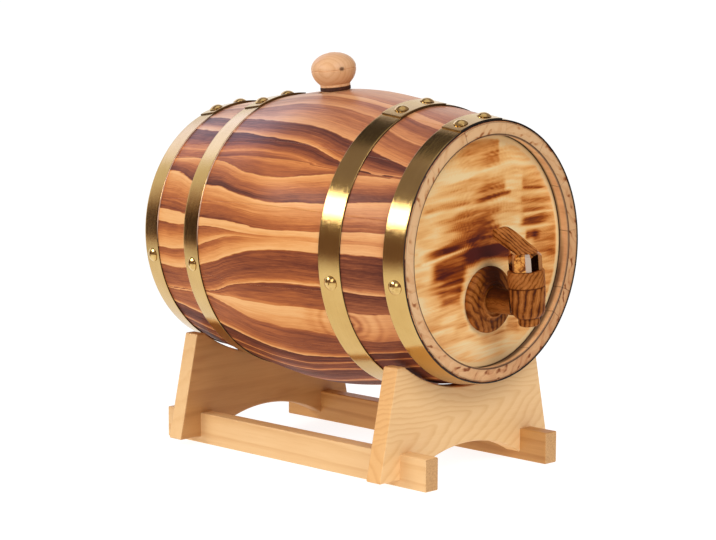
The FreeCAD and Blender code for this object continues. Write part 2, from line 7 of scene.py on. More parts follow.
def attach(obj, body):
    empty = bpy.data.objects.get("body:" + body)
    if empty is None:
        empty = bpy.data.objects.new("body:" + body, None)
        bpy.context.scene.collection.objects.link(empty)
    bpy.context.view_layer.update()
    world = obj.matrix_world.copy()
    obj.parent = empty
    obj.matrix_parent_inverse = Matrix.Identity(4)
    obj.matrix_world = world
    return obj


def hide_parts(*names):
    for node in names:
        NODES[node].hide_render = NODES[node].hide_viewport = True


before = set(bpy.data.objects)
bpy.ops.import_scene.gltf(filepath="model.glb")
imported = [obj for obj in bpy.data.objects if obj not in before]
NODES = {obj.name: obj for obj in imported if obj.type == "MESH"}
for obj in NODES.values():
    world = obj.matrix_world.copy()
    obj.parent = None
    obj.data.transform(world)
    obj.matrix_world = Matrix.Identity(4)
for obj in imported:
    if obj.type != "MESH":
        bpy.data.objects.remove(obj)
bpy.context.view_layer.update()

rng = np.random.default_rng(20517)
scene = bpy.context.scene
MM = 0.001

# ---------------------------------------------------------------- geometry of the cask
CASK_Y = 19.75
CASK_Z = 155.6
ROLL = math.radians(7.0)
HALF_LEN = 130.0
R_END, R_H1, R_H2, R_H3 = 89.1, 91.75, 96.95, 99.5
Y_H1, Y_H2, Y_H3 = 113.5, 78.4, 61.0
BILGE_SLOPE, BILGE_BEND = 0.145, 45.0
WALL_END, WALL_BILGE = 10.1, 11.0
CROZE_R, CROZE_Y0, CROZE_Y1 = 83.6, 114.4, 118.6
JOINTS = [83.0, 111.0, 137.0, 163.5, 194.0, 220.0, 246.0, 272.0, 298.0,
          323.5, 337.0, 366.0, 390.5, 415.0, 443.0]
HOOP_T = 0.9
JOINT_SHADE = [.2, 1.0, .15, .1, .15, .1, .2, .2, .2, .8, 1.0, .35, .3, .5, .2]      # how far each joint has opened
LAP_FROM, LAP_TO = 86.0, 113.0
TAP = (2.6, 122.2)
HEAD_OUT, HEAD_T, HEAD_R = 121.0, 9.0, 80.0
BUNG_ANG = 97.0
BUNG_Y = 10.0
BILGE_DROP = BILGE_SLOPE * BILGE_BEND * 2 / math.pi
R_BILGE = R_H3 + BILGE_SLOPE * (Y_H3 - BILGE_BEND) + BILGE_DROP


def outer_r(y):
    y = np.abs(np.asarray(y, float))
    bend = R_BILGE - BILGE_DROP * (1 - np.cos(math.pi / 2 * np.minimum(y, BILGE_BEND) / BILGE_BEND))
    mid = R_H3 + BILGE_SLOPE * (Y_H3 - y)
    far = np.interp(y, [Y_H3, Y_H2, Y_H1, HALF_LEN], [R_H3, R_H2, R_H1, R_END])
    return np.where(y <= BILGE_BEND, bend, np.where(y <= Y_H3, mid, far))


def inner_r(y):
    """Inside of the staves, without the groove for the heads."""
    a = np.abs(np.asarray(y, float))
    wall = np.where(a <= Y_H3, WALL_BILGE + (WALL_END + 0.4 - WALL_BILGE) * (a / Y_H3) ** 2,
                    np.interp(a, [Y_H3, Y_H1, HALF_LEN], [WALL_END + 0.4, WALL_END, WALL_END]))
    straight = np.interp(a, [Y_H3, Y_H1], [R_H3 - WALL_END - 0.4, R_H1 - WALL_END])
    return np.where((a > Y_H3) & (a < Y_H1), straight, outer_r(y) - wall)


def cask_point(r, y, deg):
    a = np.radians(deg)
    return np.stack([r * np.cos(a), np.asarray(y, float) + CASK_Y + 0 * a, CASK_Z + r * np.sin(a)], -1) * MM


# ---------------------------------------------------------------- seeded smooth noise
def make_noise(seed, n=64):
    g = np.random.default_rng(seed).random((n, n))

    def f(u, v):
        u, v = np.asarray(u, float), np.asarray(v, float)
        iu, iv = np.floor(u).astype(int), np.floor(v).astype(int)
        fu, fv = u - iu, v - iv
        fu, fv = fu * fu * (3 - 2 * fu), fv * fv * (3 - 2 * fv)
        a, b = g[iu % n, iv % n], g[(iu + 1) % n, iv % n]
        c, d = g[iu % n, (iv + 1) % n], g[(iu + 1) % n, (iv + 1) % n]
        return (a * (1 - fu) + b * fu) * (1 - fv) + (c * (1 - fu) + d * fu) * fv - 0.5
    return f


def fbm(f, u, v, octaves=4, gain=0.5):
    t, amp, k = 0.0, 1.0, 1.0
    for _ in range(octaves):
        t = t + amp * f(u * k + 13.7 * k, v * k + 5.1 * k)
        amp *= gain
        k *= 2.0
    return t


# ---------------------------------------------------------------- node helpers
class Tree:
    def __init__(self, name):
        self.mat = bpy.data.materials.new(name)
        self.mat.use_nodes = True
        self.nt = self.mat.node_tree
        self.bsdf = self.nt.nodes["Principled BSDF"]

    def node(self, kind, **props):
        n = self.nt.nodes.new(kind)
        for k, v in props.items():
            setattr(n, k, v)
        return n

    def set(self, sock, v):
        if isinstance(v, bpy.types.NodeSocket):
            self.nt.links.new(v, sock)
        elif v is not None:
            sock.default_value = v

    def math(self, op, a, b=None, c=None, clamp=False):
        n = self.node("ShaderNodeMath", operation=op, use_clamp=clamp)
        for s, v in zip(n.inputs, (a, b, c)):
            self.set(s, v)
        return n.outputs[0]

    def add(self, a, b): return self.math("ADD", a, b)
    def sub(self, a, b): return self.math("SUBTRACT", a, b)
    def mul(self, a, b): return self.math("MULTIPLY", a, b)
    def div(self, a, b): return self.math("DIVIDE", a, b)

    def coord(self):
        return self.node("ShaderNodeTexCoord").outputs["Object"]

    def attr(self, name):
        return self.node("ShaderNodeAttribute", attribute_name=name).outputs["Fac"]

    def attr_vec(self, name):
        return self.node("ShaderNodeAttribute", attribute_name=name).outputs["Vector"]

    def mapping(self, vec, loc=(0, 0, 0), rot=(0, 0, 0), scale=(1, 1, 1)):
        n = self.node("ShaderNodeMapping")
        self.set(n.inputs["Vector"], vec)
        n.inputs["Location"].default_value = loc
        n.inputs["Rotation"].default_value = rot
        n.inputs["Scale"].default_value = scale
        return n.outputs[0]

    def xyz(self, vec):
        n = self.node("ShaderNodeSeparateXYZ")
        self.set(n.inputs[0], vec)
        return n.outputs

    def vec(self, x, y, z):
        n = self.node("ShaderNodeCombineXYZ")
        for s, v in zip(n.inputs, (x, y, z)):
            self.set(s, v)
        return n.outputs[0]

    def noise(self, vec, scale=1.0, detail=3.0, rough=0.55, dist=0.0, out="Fac"):
        n = self.node("ShaderNodeTexNoise")
        self.set(n.inputs["Vector"], vec)
        n.inputs["Scale"].default_value = scale
        n.inputs["Detail"].default_value = detail
        n.inputs["Roughness"].default_value = rough
        n.inputs["Distortion"].default_value = dist
        return n.outputs[out]

    def range(self, v, a, b, c=0.0, d=1.0, smooth=False):
        n = self.node("ShaderNodeMapRange", interpolation_type="SMOOTHSTEP" if smooth else "LINEAR")
        self.set(n.inputs[0], v)
        for s, x in zip(n.inputs[1:5], (a, b, c, d)):
            self.set(s, x)
        return n.outputs[0]

    def mix(self, fac, a, b):
        n = self.node("ShaderNodeMix", data_type="FLOAT")
        self.set(n.inputs[0], fac)
        self.set(n.inputs[2], a)
        self.set(n.inputs[3], b)
        return n.outputs[0]

    def mixc(self, fac, a, b, mode="MIX"):
        n = self.node("ShaderNodeMix", data_type="RGBA", blend_type=mode)
        self.set(n.inputs[0], fac)
        self.set(n.inputs[6], a)
        self.set(n.inputs[7], b)
        return n.outputs[2]

    def ramp(self, fac, stops, mode="LINEAR", out="Color"):
        n = self.node("ShaderNodeValToRGB")
        r = n.color_ramp
        r.interpolation = mode
        while len(r.elements) > 1:
            r.elements.remove(r.elements[-1])
        for i, (p, c) in enumerate(stops):
            e = r.elements[0] if i == 0 else r.elements.new(p)
            e.position = p
            e.color = c if len(c) == 4 else (*c, 1.0)
        self.set(n.inputs[0], fac)
        return n.outputs[out], n.outputs["Alpha"]

    def bump(self, height, strength=0.3, distance=0.001, normal=None):
        n = self.node("ShaderNodeBump")
        n.inputs["Strength"].default_value = strength
        n.inputs["Distance"].default_value = distance
        self.set(n.inputs["Height"], height)
        if normal is not None:
            self.set(n.inputs["Normal"], normal)
        return n.outputs[0]

    def surface(self, color=None, rough=None, normal=None, metallic=0.0, spec=None, coat=None, coat_rough=None, ior=None):
        b = self.bsdf.inputs
        if color is not None:
            self.set(b["Base Color"], color)
        if rough is not None:
            self.set(b["Roughness"], rough)
        if normal is not None:
            self.set(b["Normal"], normal)
        b["Metallic"].default_value = metallic
        if spec is not None:
            b["Specular IOR Level"].default_value = spec
        if coat is not None:
            b["Coat Weight"].default_value = coat
        if coat_rough is not None:
            b["Coat Roughness"].default_value = coat_rough
        if ior is not None:
            b["IOR"].default_value = ior
        return self.mat


def lin(r, g, b):
    """An sRGB colour in 0..255 as linear light."""
    def f(c):
        c /= 255.0
        return c / 12.92 if c <= 0.04045 else ((c + 0.055) / 1.055) ** 2.4
    return (f(r), f(g), f(b), 1.0)


def oiled(r, g, b, gloss=0.03, light=1.06):
    """The colour under a clear finish, which adds a little white of its own."""
    c = lin(r, g, b)
    return (*(max(0.004, (v - gloss) / light) for v in c[:3]), 1.0)


# ---------------------------------------------------------------- the burnt grain on the staves
# Each line is the sharp side of one growth ring: its angle round the cask at stations along it.
# tones: darkness just after the line and just before the next, at the rear and at the front; last, how the dark falls off.
ST = [130, 112, 96, 80, 60, 40, 20, 0, -20, -40, -60, -80, -95, -112, -130]
LINES = [
    ([83] * 15, (.25, .25, .35, .45, 1.0)),
    ([97, 97, 98, 99, 101, 102, 102.5, 102.8, 103, 103.2, 103.6, 105.5, 107, 109, 111], (.15, .10, .28, .2, 1.0)),
    ([103, 103.5, 104, 104.3, 104.8, 105.2, 105.4, 105.6, 106, 106.3, 106.8, 109.6, 112, 113.5, 115], (.52, .58, .28, .22, 1.8)),
    ([107, 107.5, 108.8, 111, 113.6, 114, 113.6, 113.6, 113.8, 114.2, 115.5, 121.5, 124.5, 126.4, 128], (.64, .54, .20, .14, 1.8)),
    ([114.5, 116.5, 118.5, 120.8, 122.3, 124.2, 126.2, 126.9, 127, 128.7, 131.2, 133.8, 136, 138.8, 141.5], (.82, .82, .12, .12, 2.8)),
    ([124, 125.8, 127.8, 129.6, 130.8, 132.6, 134.7, 135.6, 136.1, 138.1, 142, 144.6, 144.8, 144.1, 143], (.90, .88, .25, .36, 2.8)),
    ([138, 138.8, 139.3, 140.2, 141.6, 141.8, 142.1, 142.1, 143.1, 144.7, 144.9, 145.0, 145.1, 144.3, 143.2], (.42, .30, .72, .62, .7)),
    ([142.5, 143.2, 143.7, 143.9, 144.4, 143.9, 144.2, 144.4, 144.7, 145.0, 145.2, 145.2, 145.2, 144.5, 143.4], (.34, .30, .68, .60, .6)),
    ([142.7, 143.4, 143.9, 144.1, 144.9, 147.5, 151.3, 152.5, 152, 149.6, 146.4, 145.5, 145.4, 144.7, 143.6], (.06, .0, .94, .80, .85)),
    ([148.5, 149.8, 151, 155.3, 156.2, 157.4, 160, 161.6, 161.9, 160.3, 159.2, 157.3, 156.5, 154.8, 153.5], (.0, .0, .74, .58, .8)),
    ([167.5, 168, 168.8, 169.8, 170.2, 170.7, 171, 172, 172.3, 171.9, 170.9, 169.7, 169.3, 169, 168.8], (.0, .0, .05, .2, 1.0)),
    ([174.2, 174, 174, 173.7, 173.4, 173.3, 174.1, 174.6, 174.5, 174, 173.6, 173.2, 173, 172.8, 172.8], (.75, .30, .02, .25, 1.0)),
    ([186, 185.5, 185.3, 184, 181.3, 178, 175.6, 175.4, 175.3, 175, 174.8, 174.5, 174.3, 174.2, 174.2], (.68, .12, .0, .02, 1.0)),
    ([193.5, 193.8, 194, 192.5, 189.5, 186.3, 182.6, 180.3, 178.9, 178.7, 178.6, 178, 178, 178, 178], (.66, .74, .1, .0, 8.0)),
    ([206.5, 205.5, 204.5, 203.3, 202, 198.6, 194.6, 192.6, 191.7, 191.7, 192.2, 193.7, 194.5, 195, 195.3], (.72, .76, .40, .50, 1.8)),
    ([206.7, 205.7, 204.7, 203.5, 202.2, 201.4, 200.9, 200.8, 201, 201.5, 202, 202.6, 203, 202.9, 202.8], (.06, .02, .25, .26, 1.6)),
    ([206.9, 205.9, 204.9, 203.7, 202.6, 204.8, 208, 209.6, 210.8, 211.8, 214, 217, 217.5, 216.5, 216], (.62, .66, .0, .05, 8.0)),
    ([213, 213.9, 214.6, 215.9, 217.7, 219.8, 221.8, 224, 225.8, 227, 226.6, 224.6, 224, 223.5, 223], (.92, .88, .15, .12, 8.0)),
    ([222, 224, 226, 227, 228.3, 228.7, 229.6, 230.6, 231.5, 231.5, 230.3, 229, 228.5, 228, 228], (.80, .78, .2, .2, 6.0)),
    ([230, 231, 232.5, 234, 235.5, 236, 236.4, 236.8, 236.6, 236.2, 236, 235.5, 235, 234, 234], (.85, .85, .3, .3, 5.0)),
]


def grow_lines():
    """The lines above, then more of the same kind round the rest of the cask."""
    r = np.random.default_rng(77)
    f = make_noise(5)
    lines, tones = [], []
    for ang, t in LINES:
        lines.append(np.array(ang, float))
        tones.append(t)
    st = np.array(ST, float)
    base = 236.0
    lens = 0.0
    while True:
        step = r.choice([3.2, 5.5, 8.0, 10.5, 13.0], p=[.16, .22, .26, .22, .14])
        base += step
        if base > 437:
            break
        wave = 5.5 * fbm(f, base / 46.0 + 0 * st, st / 95.0 + 3.0, 2)
        own = 2.6 * fbm(f, base / 3.1 + 0 * st + 40, st / 70.0, 2)
        lens = (step - 3.0) * 0.38 * np.exp(-((st - r.uniform(-90, 90)) / r.uniform(35, 70)) ** 2)
        c = base + wave + own + lens
        c = np.minimum(np.maximum(c, lines[-1] + 0.35), 442.2)
        lines.append(c)
        k = r.random()
        if k < 0.45:
            a, b, g = r.uniform(.0, .08), r.uniform(.5, .9), r.uniform(.6, 1.0)
        elif k < 0.8:
            a, b, g = r.uniform(.75, 1.0), r.uniform(.05, .2), r.uniform(.8, 6.0)
        else:
            a, b, g = r.uniform(.0, .15), r.uniform(.1, .3), 1.0
        tones.append((a, min(1.0, a + .05), b, min(1.0, b + .05), g))
    lines.append(np.full(len(ST), 443.0))
    return lines, tones


GRAIN, TONES = grow_lines()
YS_FINE = np.arange(-131.0, 131.5, 1.0)


def fine_line(c):
    y = np.array(ST[::-1], float)
    v = np.interp(YS_FINE, y, np.asarray(c)[::-1])
    k = np.exp(-0.5 * (np.arange(-14, 15) / 5.0) ** 2)
    k /= k.sum()
    p = np.concatenate([2 * v[0] - v[14:0:-1], v, 2 * v[-1] - v[-2:-16:-1]])
    return np.convolve(p, k, "valid")


GRAIN_FINE = np.array([fine_line(c) for c in GRAIN])
jit = make_noise(11)
for i in range(1, len(GRAIN_FINE) - 1):
    GRAIN_FINE[i] += 0.55 * fbm(jit, 0 * YS_FINE + i * 0.37, YS_FINE / 16.0, 4)
for i in range(1, len(GRAIN_FINE)):
    GRAIN_FINE[i] = np.maximum(GRAIN_FINE[i], GRAIN_FINE[i - 1] + 0.02)


NOMINAL = GRAIN_FINE.mean(1)


def phase(y, deg):
    """How many lines lie before this angle, with the share of the way to the next."""
    y, deg = np.broadcast_arrays(np.asarray(y, float), np.asarray(deg, float))
    shape = y.shape
    y, deg = y.ravel(), deg.ravel()
    j = (y - YS_FINE[0]).clip(0, len(YS_FINE) - 1.001)
    j0 = j.astype(int)
    w = j - j0
    L = GRAIN_FINE[:, j0] * (1 - w) + GRAIN_FINE[:, j0 + 1] * w
    k = (L <= deg).sum(0) - 1
    k = k.clip(0, len(L) - 2)
    n = np.arange(len(deg))
    a, b = L[k, n], L[k + 1, n]
    f = ((deg - a) / np.maximum(b - a, 1e-6)).clip(0, 0.9999)
    # and a measure across the grain that is straight along every line, in mm
    flow = (NOMINAL[k] + f * (NOMINAL[k + 1] - NOMINAL[k])) * 1.85
    return (k + f).reshape(shape), flow.reshape(shape)


def torch_color(t, tone):
    c, _ = t.ramp(tone, [
        (0.00, oiled(244, 189, 128, .02)), (0.14, oiled(234, 167, 104, .02)), (0.34, oiled(212, 137, 81, .02)), (0.52, oiled(180, 106, 65, .015)),
        (0.70, oiled(146, 83, 55, 0.01)), (0.84, oiled(115, 63, 47, 0.008)), (1.00, oiled(85, 46, 36, 0.004))])
    return c


def lookup(t, k, column):
    """A number for line k out of the table, through stepped ramps of 32 entries."""
    outs = []
    for part in range(2):
        rows = TONES[part * 32:(part + 1) * 32]
        if not rows:
            continue
        stops = [(j / 32.0, tuple(rows[j][i] if i is not None else 1.0 for i in column)) for j in range(len(rows))]
        u = t.div(t.sub(t.add(k, 0.5), 32.0 * part), 32.0)
        outs.append(t.ramp(u, stops, "CONSTANT"))
    if len(outs) == 1:
        return outs[0]
    first = t.math("LESS_THAN", k, 31.5)
    return (t.mixc(first, outs[1][0], outs[0][0]), t.mix(first, outs[1][1], outs[0][1]))


def make_torched(name="torched_stave_wood"):
    t = Tree(name)
    co = t.coord()
    # grain space: squeezed along the staves
    g = t.mapping(co, scale=(1.0, 0.10, 1.0))
    P = t.attr("ring")
    wob = t.mul(t.sub(t.noise(g, 70.0, 3.0, 0.6), 0.5), 0.16)
    wob = t.add(wob, t.mul(t.sub(t.noise(g, 320.0, 3.0, 0.65), 0.5), 0.10))
    Pn = t.add(P, wob)
    k = t.math("FLOOR", Pn)
    f = t.math("FRACT", Pn)
    ab, al = lookup(t, k, (0, 1, 2, 3))
    a_r, a_f, b_r = t.xyz(ab)
    gam = t.xyz(lookup(t, k, (4, 4, 4, None))[0])[0]
    yy = t.xyz(co)[1]
    front = t.range(yy, 0.085, -0.045, 0, 1, smooth=True)
    A = t.mix(front, a_r, a_f)
    B = t.mix(front, b_r, al)
    s = t.math("POWER", f, gam)
    tone = t.add(A, t.mul(t.sub(B, A), s))
    # a dark ring does not start at full depth: soften its first part
    soft = t.range(f, 0.0, 0.06, 0.0, 1.0, smooth=True)
    before, before_f = lookup(t, t.math("MAXIMUM", t.sub(k, 1.0), 0.0), (2, 2, 2, 3))
    prev = t.mix(front, t.xyz(before)[2], before_f)
    tone = t.mix(soft, prev, tone)
    # fine streaks that follow the rings, fibres along the stave, scorch clouds
    ym = t.mul(yy, 1000.0)
    fl = t.attr("flow")
    hair = t.noise(t.vec(t.mul(fl, 1.5), t.mul(ym, 0.022), 0.0), 1.0, 3.0, 0.65)
    strand = t.noise(t.vec(t.mul(fl, 0.42), t.mul(ym, 0.011), 7.0), 1.0, 3.0, 0.6)
    fine = t.noise(t.mapping(co, scale=(1.0, 0.045, 1.0)), 900.0, 4.0, 0.7)
    mid = t.noise(t.mapping(co, scale=(1.0, 0.08, 1.0)), 190.0, 4.0, 0.6)
    cloud = t.noise(t.mapping(co, scale=(1.0, 0.55, 1.0)), 26.0, 3.0, 0.55)
    thread = t.noise(t.vec(t.mul(fl, 5.0), t.mul(ym, 0.05), 3.0), 1.0, 3.0, 0.7)
    amp = t.add(0.20, t.mul(tone, 0.32))
    tone = t.add(tone, t.mul(t.sub(hair, 0.5), t.mul(amp, 1.35)))
    tone = t.add(tone, t.mul(t.sub(thread, 0.5), t.mul(amp, 0.8)))
    tone = t.add(tone, t.mul(t.sub(strand, 0.5), t.mul(amp, 1.4)))
    tone = t.add(tone, t.mul(t.sub(fine, 0.5), t.mul(amp, 0.85)))
    tone = t.add(tone, t.mul(t.sub(cloud, 0.5), 0.26))
    tone = t.add(tone, t.attr("char"))
    # rings round a small knot, low on the left near the front
    cx, cy, cz = t.xyz(co)
    kx, ky, kz = t.mul(t.add(cx, 0.0854), 1000.0), t.mul(t.add(cy, 0.0572), 760.0), t.mul(t.sub(cz, 0.1092), 1000.0)
    d = t.math("SQRT", t.add(t.add(t.mul(kx, kx), t.mul(ky, ky)), t.mul(kz, kz)))
    d = t.add(d, t.mul(t.sub(mid, 0.5), 3.0))
    eye = 0.0
    for at, wide, deep in ((0.0, 2.6, .80), (6.4, 1.9, .34), (11.5, 1.6, .13), (19.0, 1.8, .16), (25.0, 4.0, .10)):
        q = t.div(t.sub(d, at), wide)
        eye = t.add(eye, t.mul(t.math("EXPONENT", t.mul(t.mul(q, q), -1.0)), deep))
    pale = t.mul(t.math("GREATER_THAN", k, 14.5), t.math("LESS_THAN", k, 15.5))
    tone = t.add(tone, t.mul(eye, pale))
    tone = t.math("MAXIMUM", t.math("MINIMUM", tone, 1.0), 0.0)
    col = torch_color(t, tone)
    # warm to rosy drift
    drift = t.noise(t.mapping(co, scale=(1.0, 0.4, 1.0)), 14.0, 2.0, 0.5)
    col = t.mixc(t.mul(t.range(drift, 0.35, 0.7), t.mul(tone, 0.14)), col, lin(128, 72, 58))
    # a greyish painted sheen on the upper back: the varnish's reflection of the light, painted into the colour
    painted_sheen = t.mul(t.attr("painted_sheen"), t.range(t.add(strand, t.mul(hair, 0.4)), 0.5, 0.95, 0.55, 1.0))
    sheen_grey, _ = t.ramp(tone, [(0.0, lin(234, 202, 172)), (0.35, lin(206, 166, 138)), (0.6, lin(152, 110, 90)), (0.8, lin(102, 70, 58)), (1.0, lin(66, 46, 44))])
    col = t.mixc(t.mul(painted_sheen, 0.72), col, sheen_grey)
    # joints between the staves
    seam = t.attr("seam")
    col = t.mixc(t.mul(seam, 0.75), col, lin(58, 26, 14))
    rough = t.add(0.36, t.mul(tone, 0.14))
    rough = t.add(rough, t.mul(t.sub(fine, 0.5), 0.10))
    h = t.add(t.mul(fine, 0.5), t.mul(mid, 0.6))
    h = t.add(h, t.mul(tone, -0.5))
    n = t.bump(h, 0.22, 0.0006)
    # more gloss higher up: a guess, fitted to where the varnish shows the light
    t.set(t.bsdf.inputs["Coat Weight"], t.range(t.xyz(co)[2], 0.14, 0.25, 0.0, 0.42, smooth=True))
    return t.surface(col, rough, n, spec=0.06, coat_rough=0.30)


def make_stave_end():
    """Sawn ends of the staves: pale, with short arcs of growth rings across them."""
    t = Tree("stave_end_grain")
    co = t.coord()
    v = t.attr_vec("endco")                     # along the arc, through the wall, stave number
    x, y, z = t.xyz(v)
    warp = t.mul(t.sub(t.noise(v, 0.055, 2.0, 0.5), 0.5), 16.0)
    rings = t.math("SINE", t.mul(t.add(t.add(t.mul(x, 0.34), t.mul(y, 0.62)), warp), 1.25))
    rings = t.range(rings, 0.0, 1, 0, 1, smooth=True)
    fine = t.math("SINE", t.mul(t.add(t.add(t.mul(x, 0.34), t.mul(y, 0.62)), warp), 4.4))
    pores = t.noise(t.mapping(v, scale=(0.45, 1.0, 1.0)), 1.6, 3.0, 0.6)
    patch = t.noise(v, 0.07, 2.0, 0.5)
    # here and there a wavy brown stroke
    keep = t.range(t.noise(t.mapping(v, loc=(5, 3, 1)), 0.09, 2.0, 0.6), 0.50, 0.64, 0, 1, smooth=True)
    tone = t.add(t.mul(rings, t.add(0.15, t.mul(keep, 0.66))), t.mul(t.sub(pores, 0.5), 0.24))
    tone = t.add(tone, t.mul(fine, 0.035))
    tone = t.add(tone, t.mul(t.sub(patch, 0.45), 0.6))
    ox, oy, oz = t.xyz(co)
    # painted shade: the sawn ends darken towards the bottom and the right
    tone = t.add(tone, t.range(t.sub(oz, t.mul(ox, 0.8)), 0.21, 0.03, -0.04, 0.40))
    tone = t.math("MAXIMUM", t.math("MINIMUM", tone, 1.0), 0.0)
    col, _ = t.ramp(tone, [(0, oiled(236, 194, 146, .02)), (0.3, oiled(224, 174, 124, .02)), (0.6, oiled(200, 140, 94, .02)), (1, oiled(138, 80, 48, .02))])
    # dark at the edges of the sawn ends: charred arris and painted shade of the gaps beside them
    char_and_shade = t.attr("char_and_shade")
    col = t.mixc(t.math("MINIMUM", char_and_shade, 1.0), col, lin(62, 28, 14))
    seam = t.attr("seam")
    col = t.mixc(t.mul(seam, 0.9), col, lin(104, 48, 24))
    n = t.bump(t.add(pores, t.mul(rings, 0.4)), 0.25, 0.0004)
    return t.surface(col, 0.55, n, spec=0.35)


def make_stave_inside():
    """Bare, lightly toasted wood on the inside of the cask."""
    t = Tree("stave_inside_wood")
    co = t.coord()
    g = t.noise(t.mapping(co, scale=(1.0, 0.06, 1.0)), 260.0, 4.0, 0.6)
    b = t.noise(t.mapping(co, scale=(1.0, 0.5, 1.0)), 40.0, 3.0, 0.6)
    tone = t.add(t.mul(g, 0.6), t.mul(b, 0.5))
    col, _ = t.ramp(tone, [(0.2, lin(254, 220, 172)), (0.5, lin(248, 202, 148)), (0.85, lin(216, 158, 108))])
    # dark at the sawn edge, which is char, and painted shade in the corner against the head and low on the right
    char_and_shade = t.attr("char_and_shade")
    col = t.mixc(t.math("MINIMUM", char_and_shade, 1.0), col, lin(58, 27, 14))
    col = t.mixc(t.mul(t.attr("seam"), 0.9), col, lin(50, 24, 13))
    return t.surface(col, 0.6, t.bump(g, 0.2, 0.0005), spec=0.3)


MAT_TORCH = make_torched()
MAT_END = make_stave_end()
MAT_INSIDE = make_stave_inside()


def new_object(name, verts, faces, mats=(), face_mats=None, smooth=True):
    me = bpy.data.meshes.new(name)
    me.from_pydata([tuple(v) for v in verts], [], [tuple(f) for f in faces])
    for m in mats:
        me.materials.append(m)
    if face_mats is not None:
        me.polygons.foreach_set("material_index", np.asarray(face_mats, np.int32))
    if smooth:
        me.polygons.foreach_set("use_smooth", np.ones(len(me.polygons), bool))
    me.validate()
    me.update()
    ob = bpy.data.objects.new(name, me)
    scene.collection.objects.link(ob)
    return ob


def point_attr(ob, name, values):
    a = ob.data.attributes.new(name, "FLOAT", "POINT")
    a.data.foreach_set("value", np.asarray(values, np.float32).ravel())


def vector_attr(ob, name, values):
    a = ob.data.attributes.new(name, "FLOAT_VECTOR", "POINT")
    a.data.foreach_set("vector", np.asarray(values, np.float32).ravel())


relief = make_noise(21)


def stations():
    s = set()
    y = -HALF_LEN
    base = list(np.arange(-129.0, 129.1, 2.5))
    base += [-130.0, -129.55, -129.2, 130.0, 129.55, 129.2, -126, -123.5, 123.5, 126]
    for v in (Y_H1, Y_H2, Y_H3, CROZE_Y1, CROZE_Y1 - 0.06, CROZE_Y0, CROZE_Y0 + 0.06, 121.0):
        base += [v, -v]
    out = sorted(base)
    keep = [out[0]]
    for v in out[1:]:
        if v - keep[-1] > 0.04:
            keep.append(v)
    return np.array(keep)


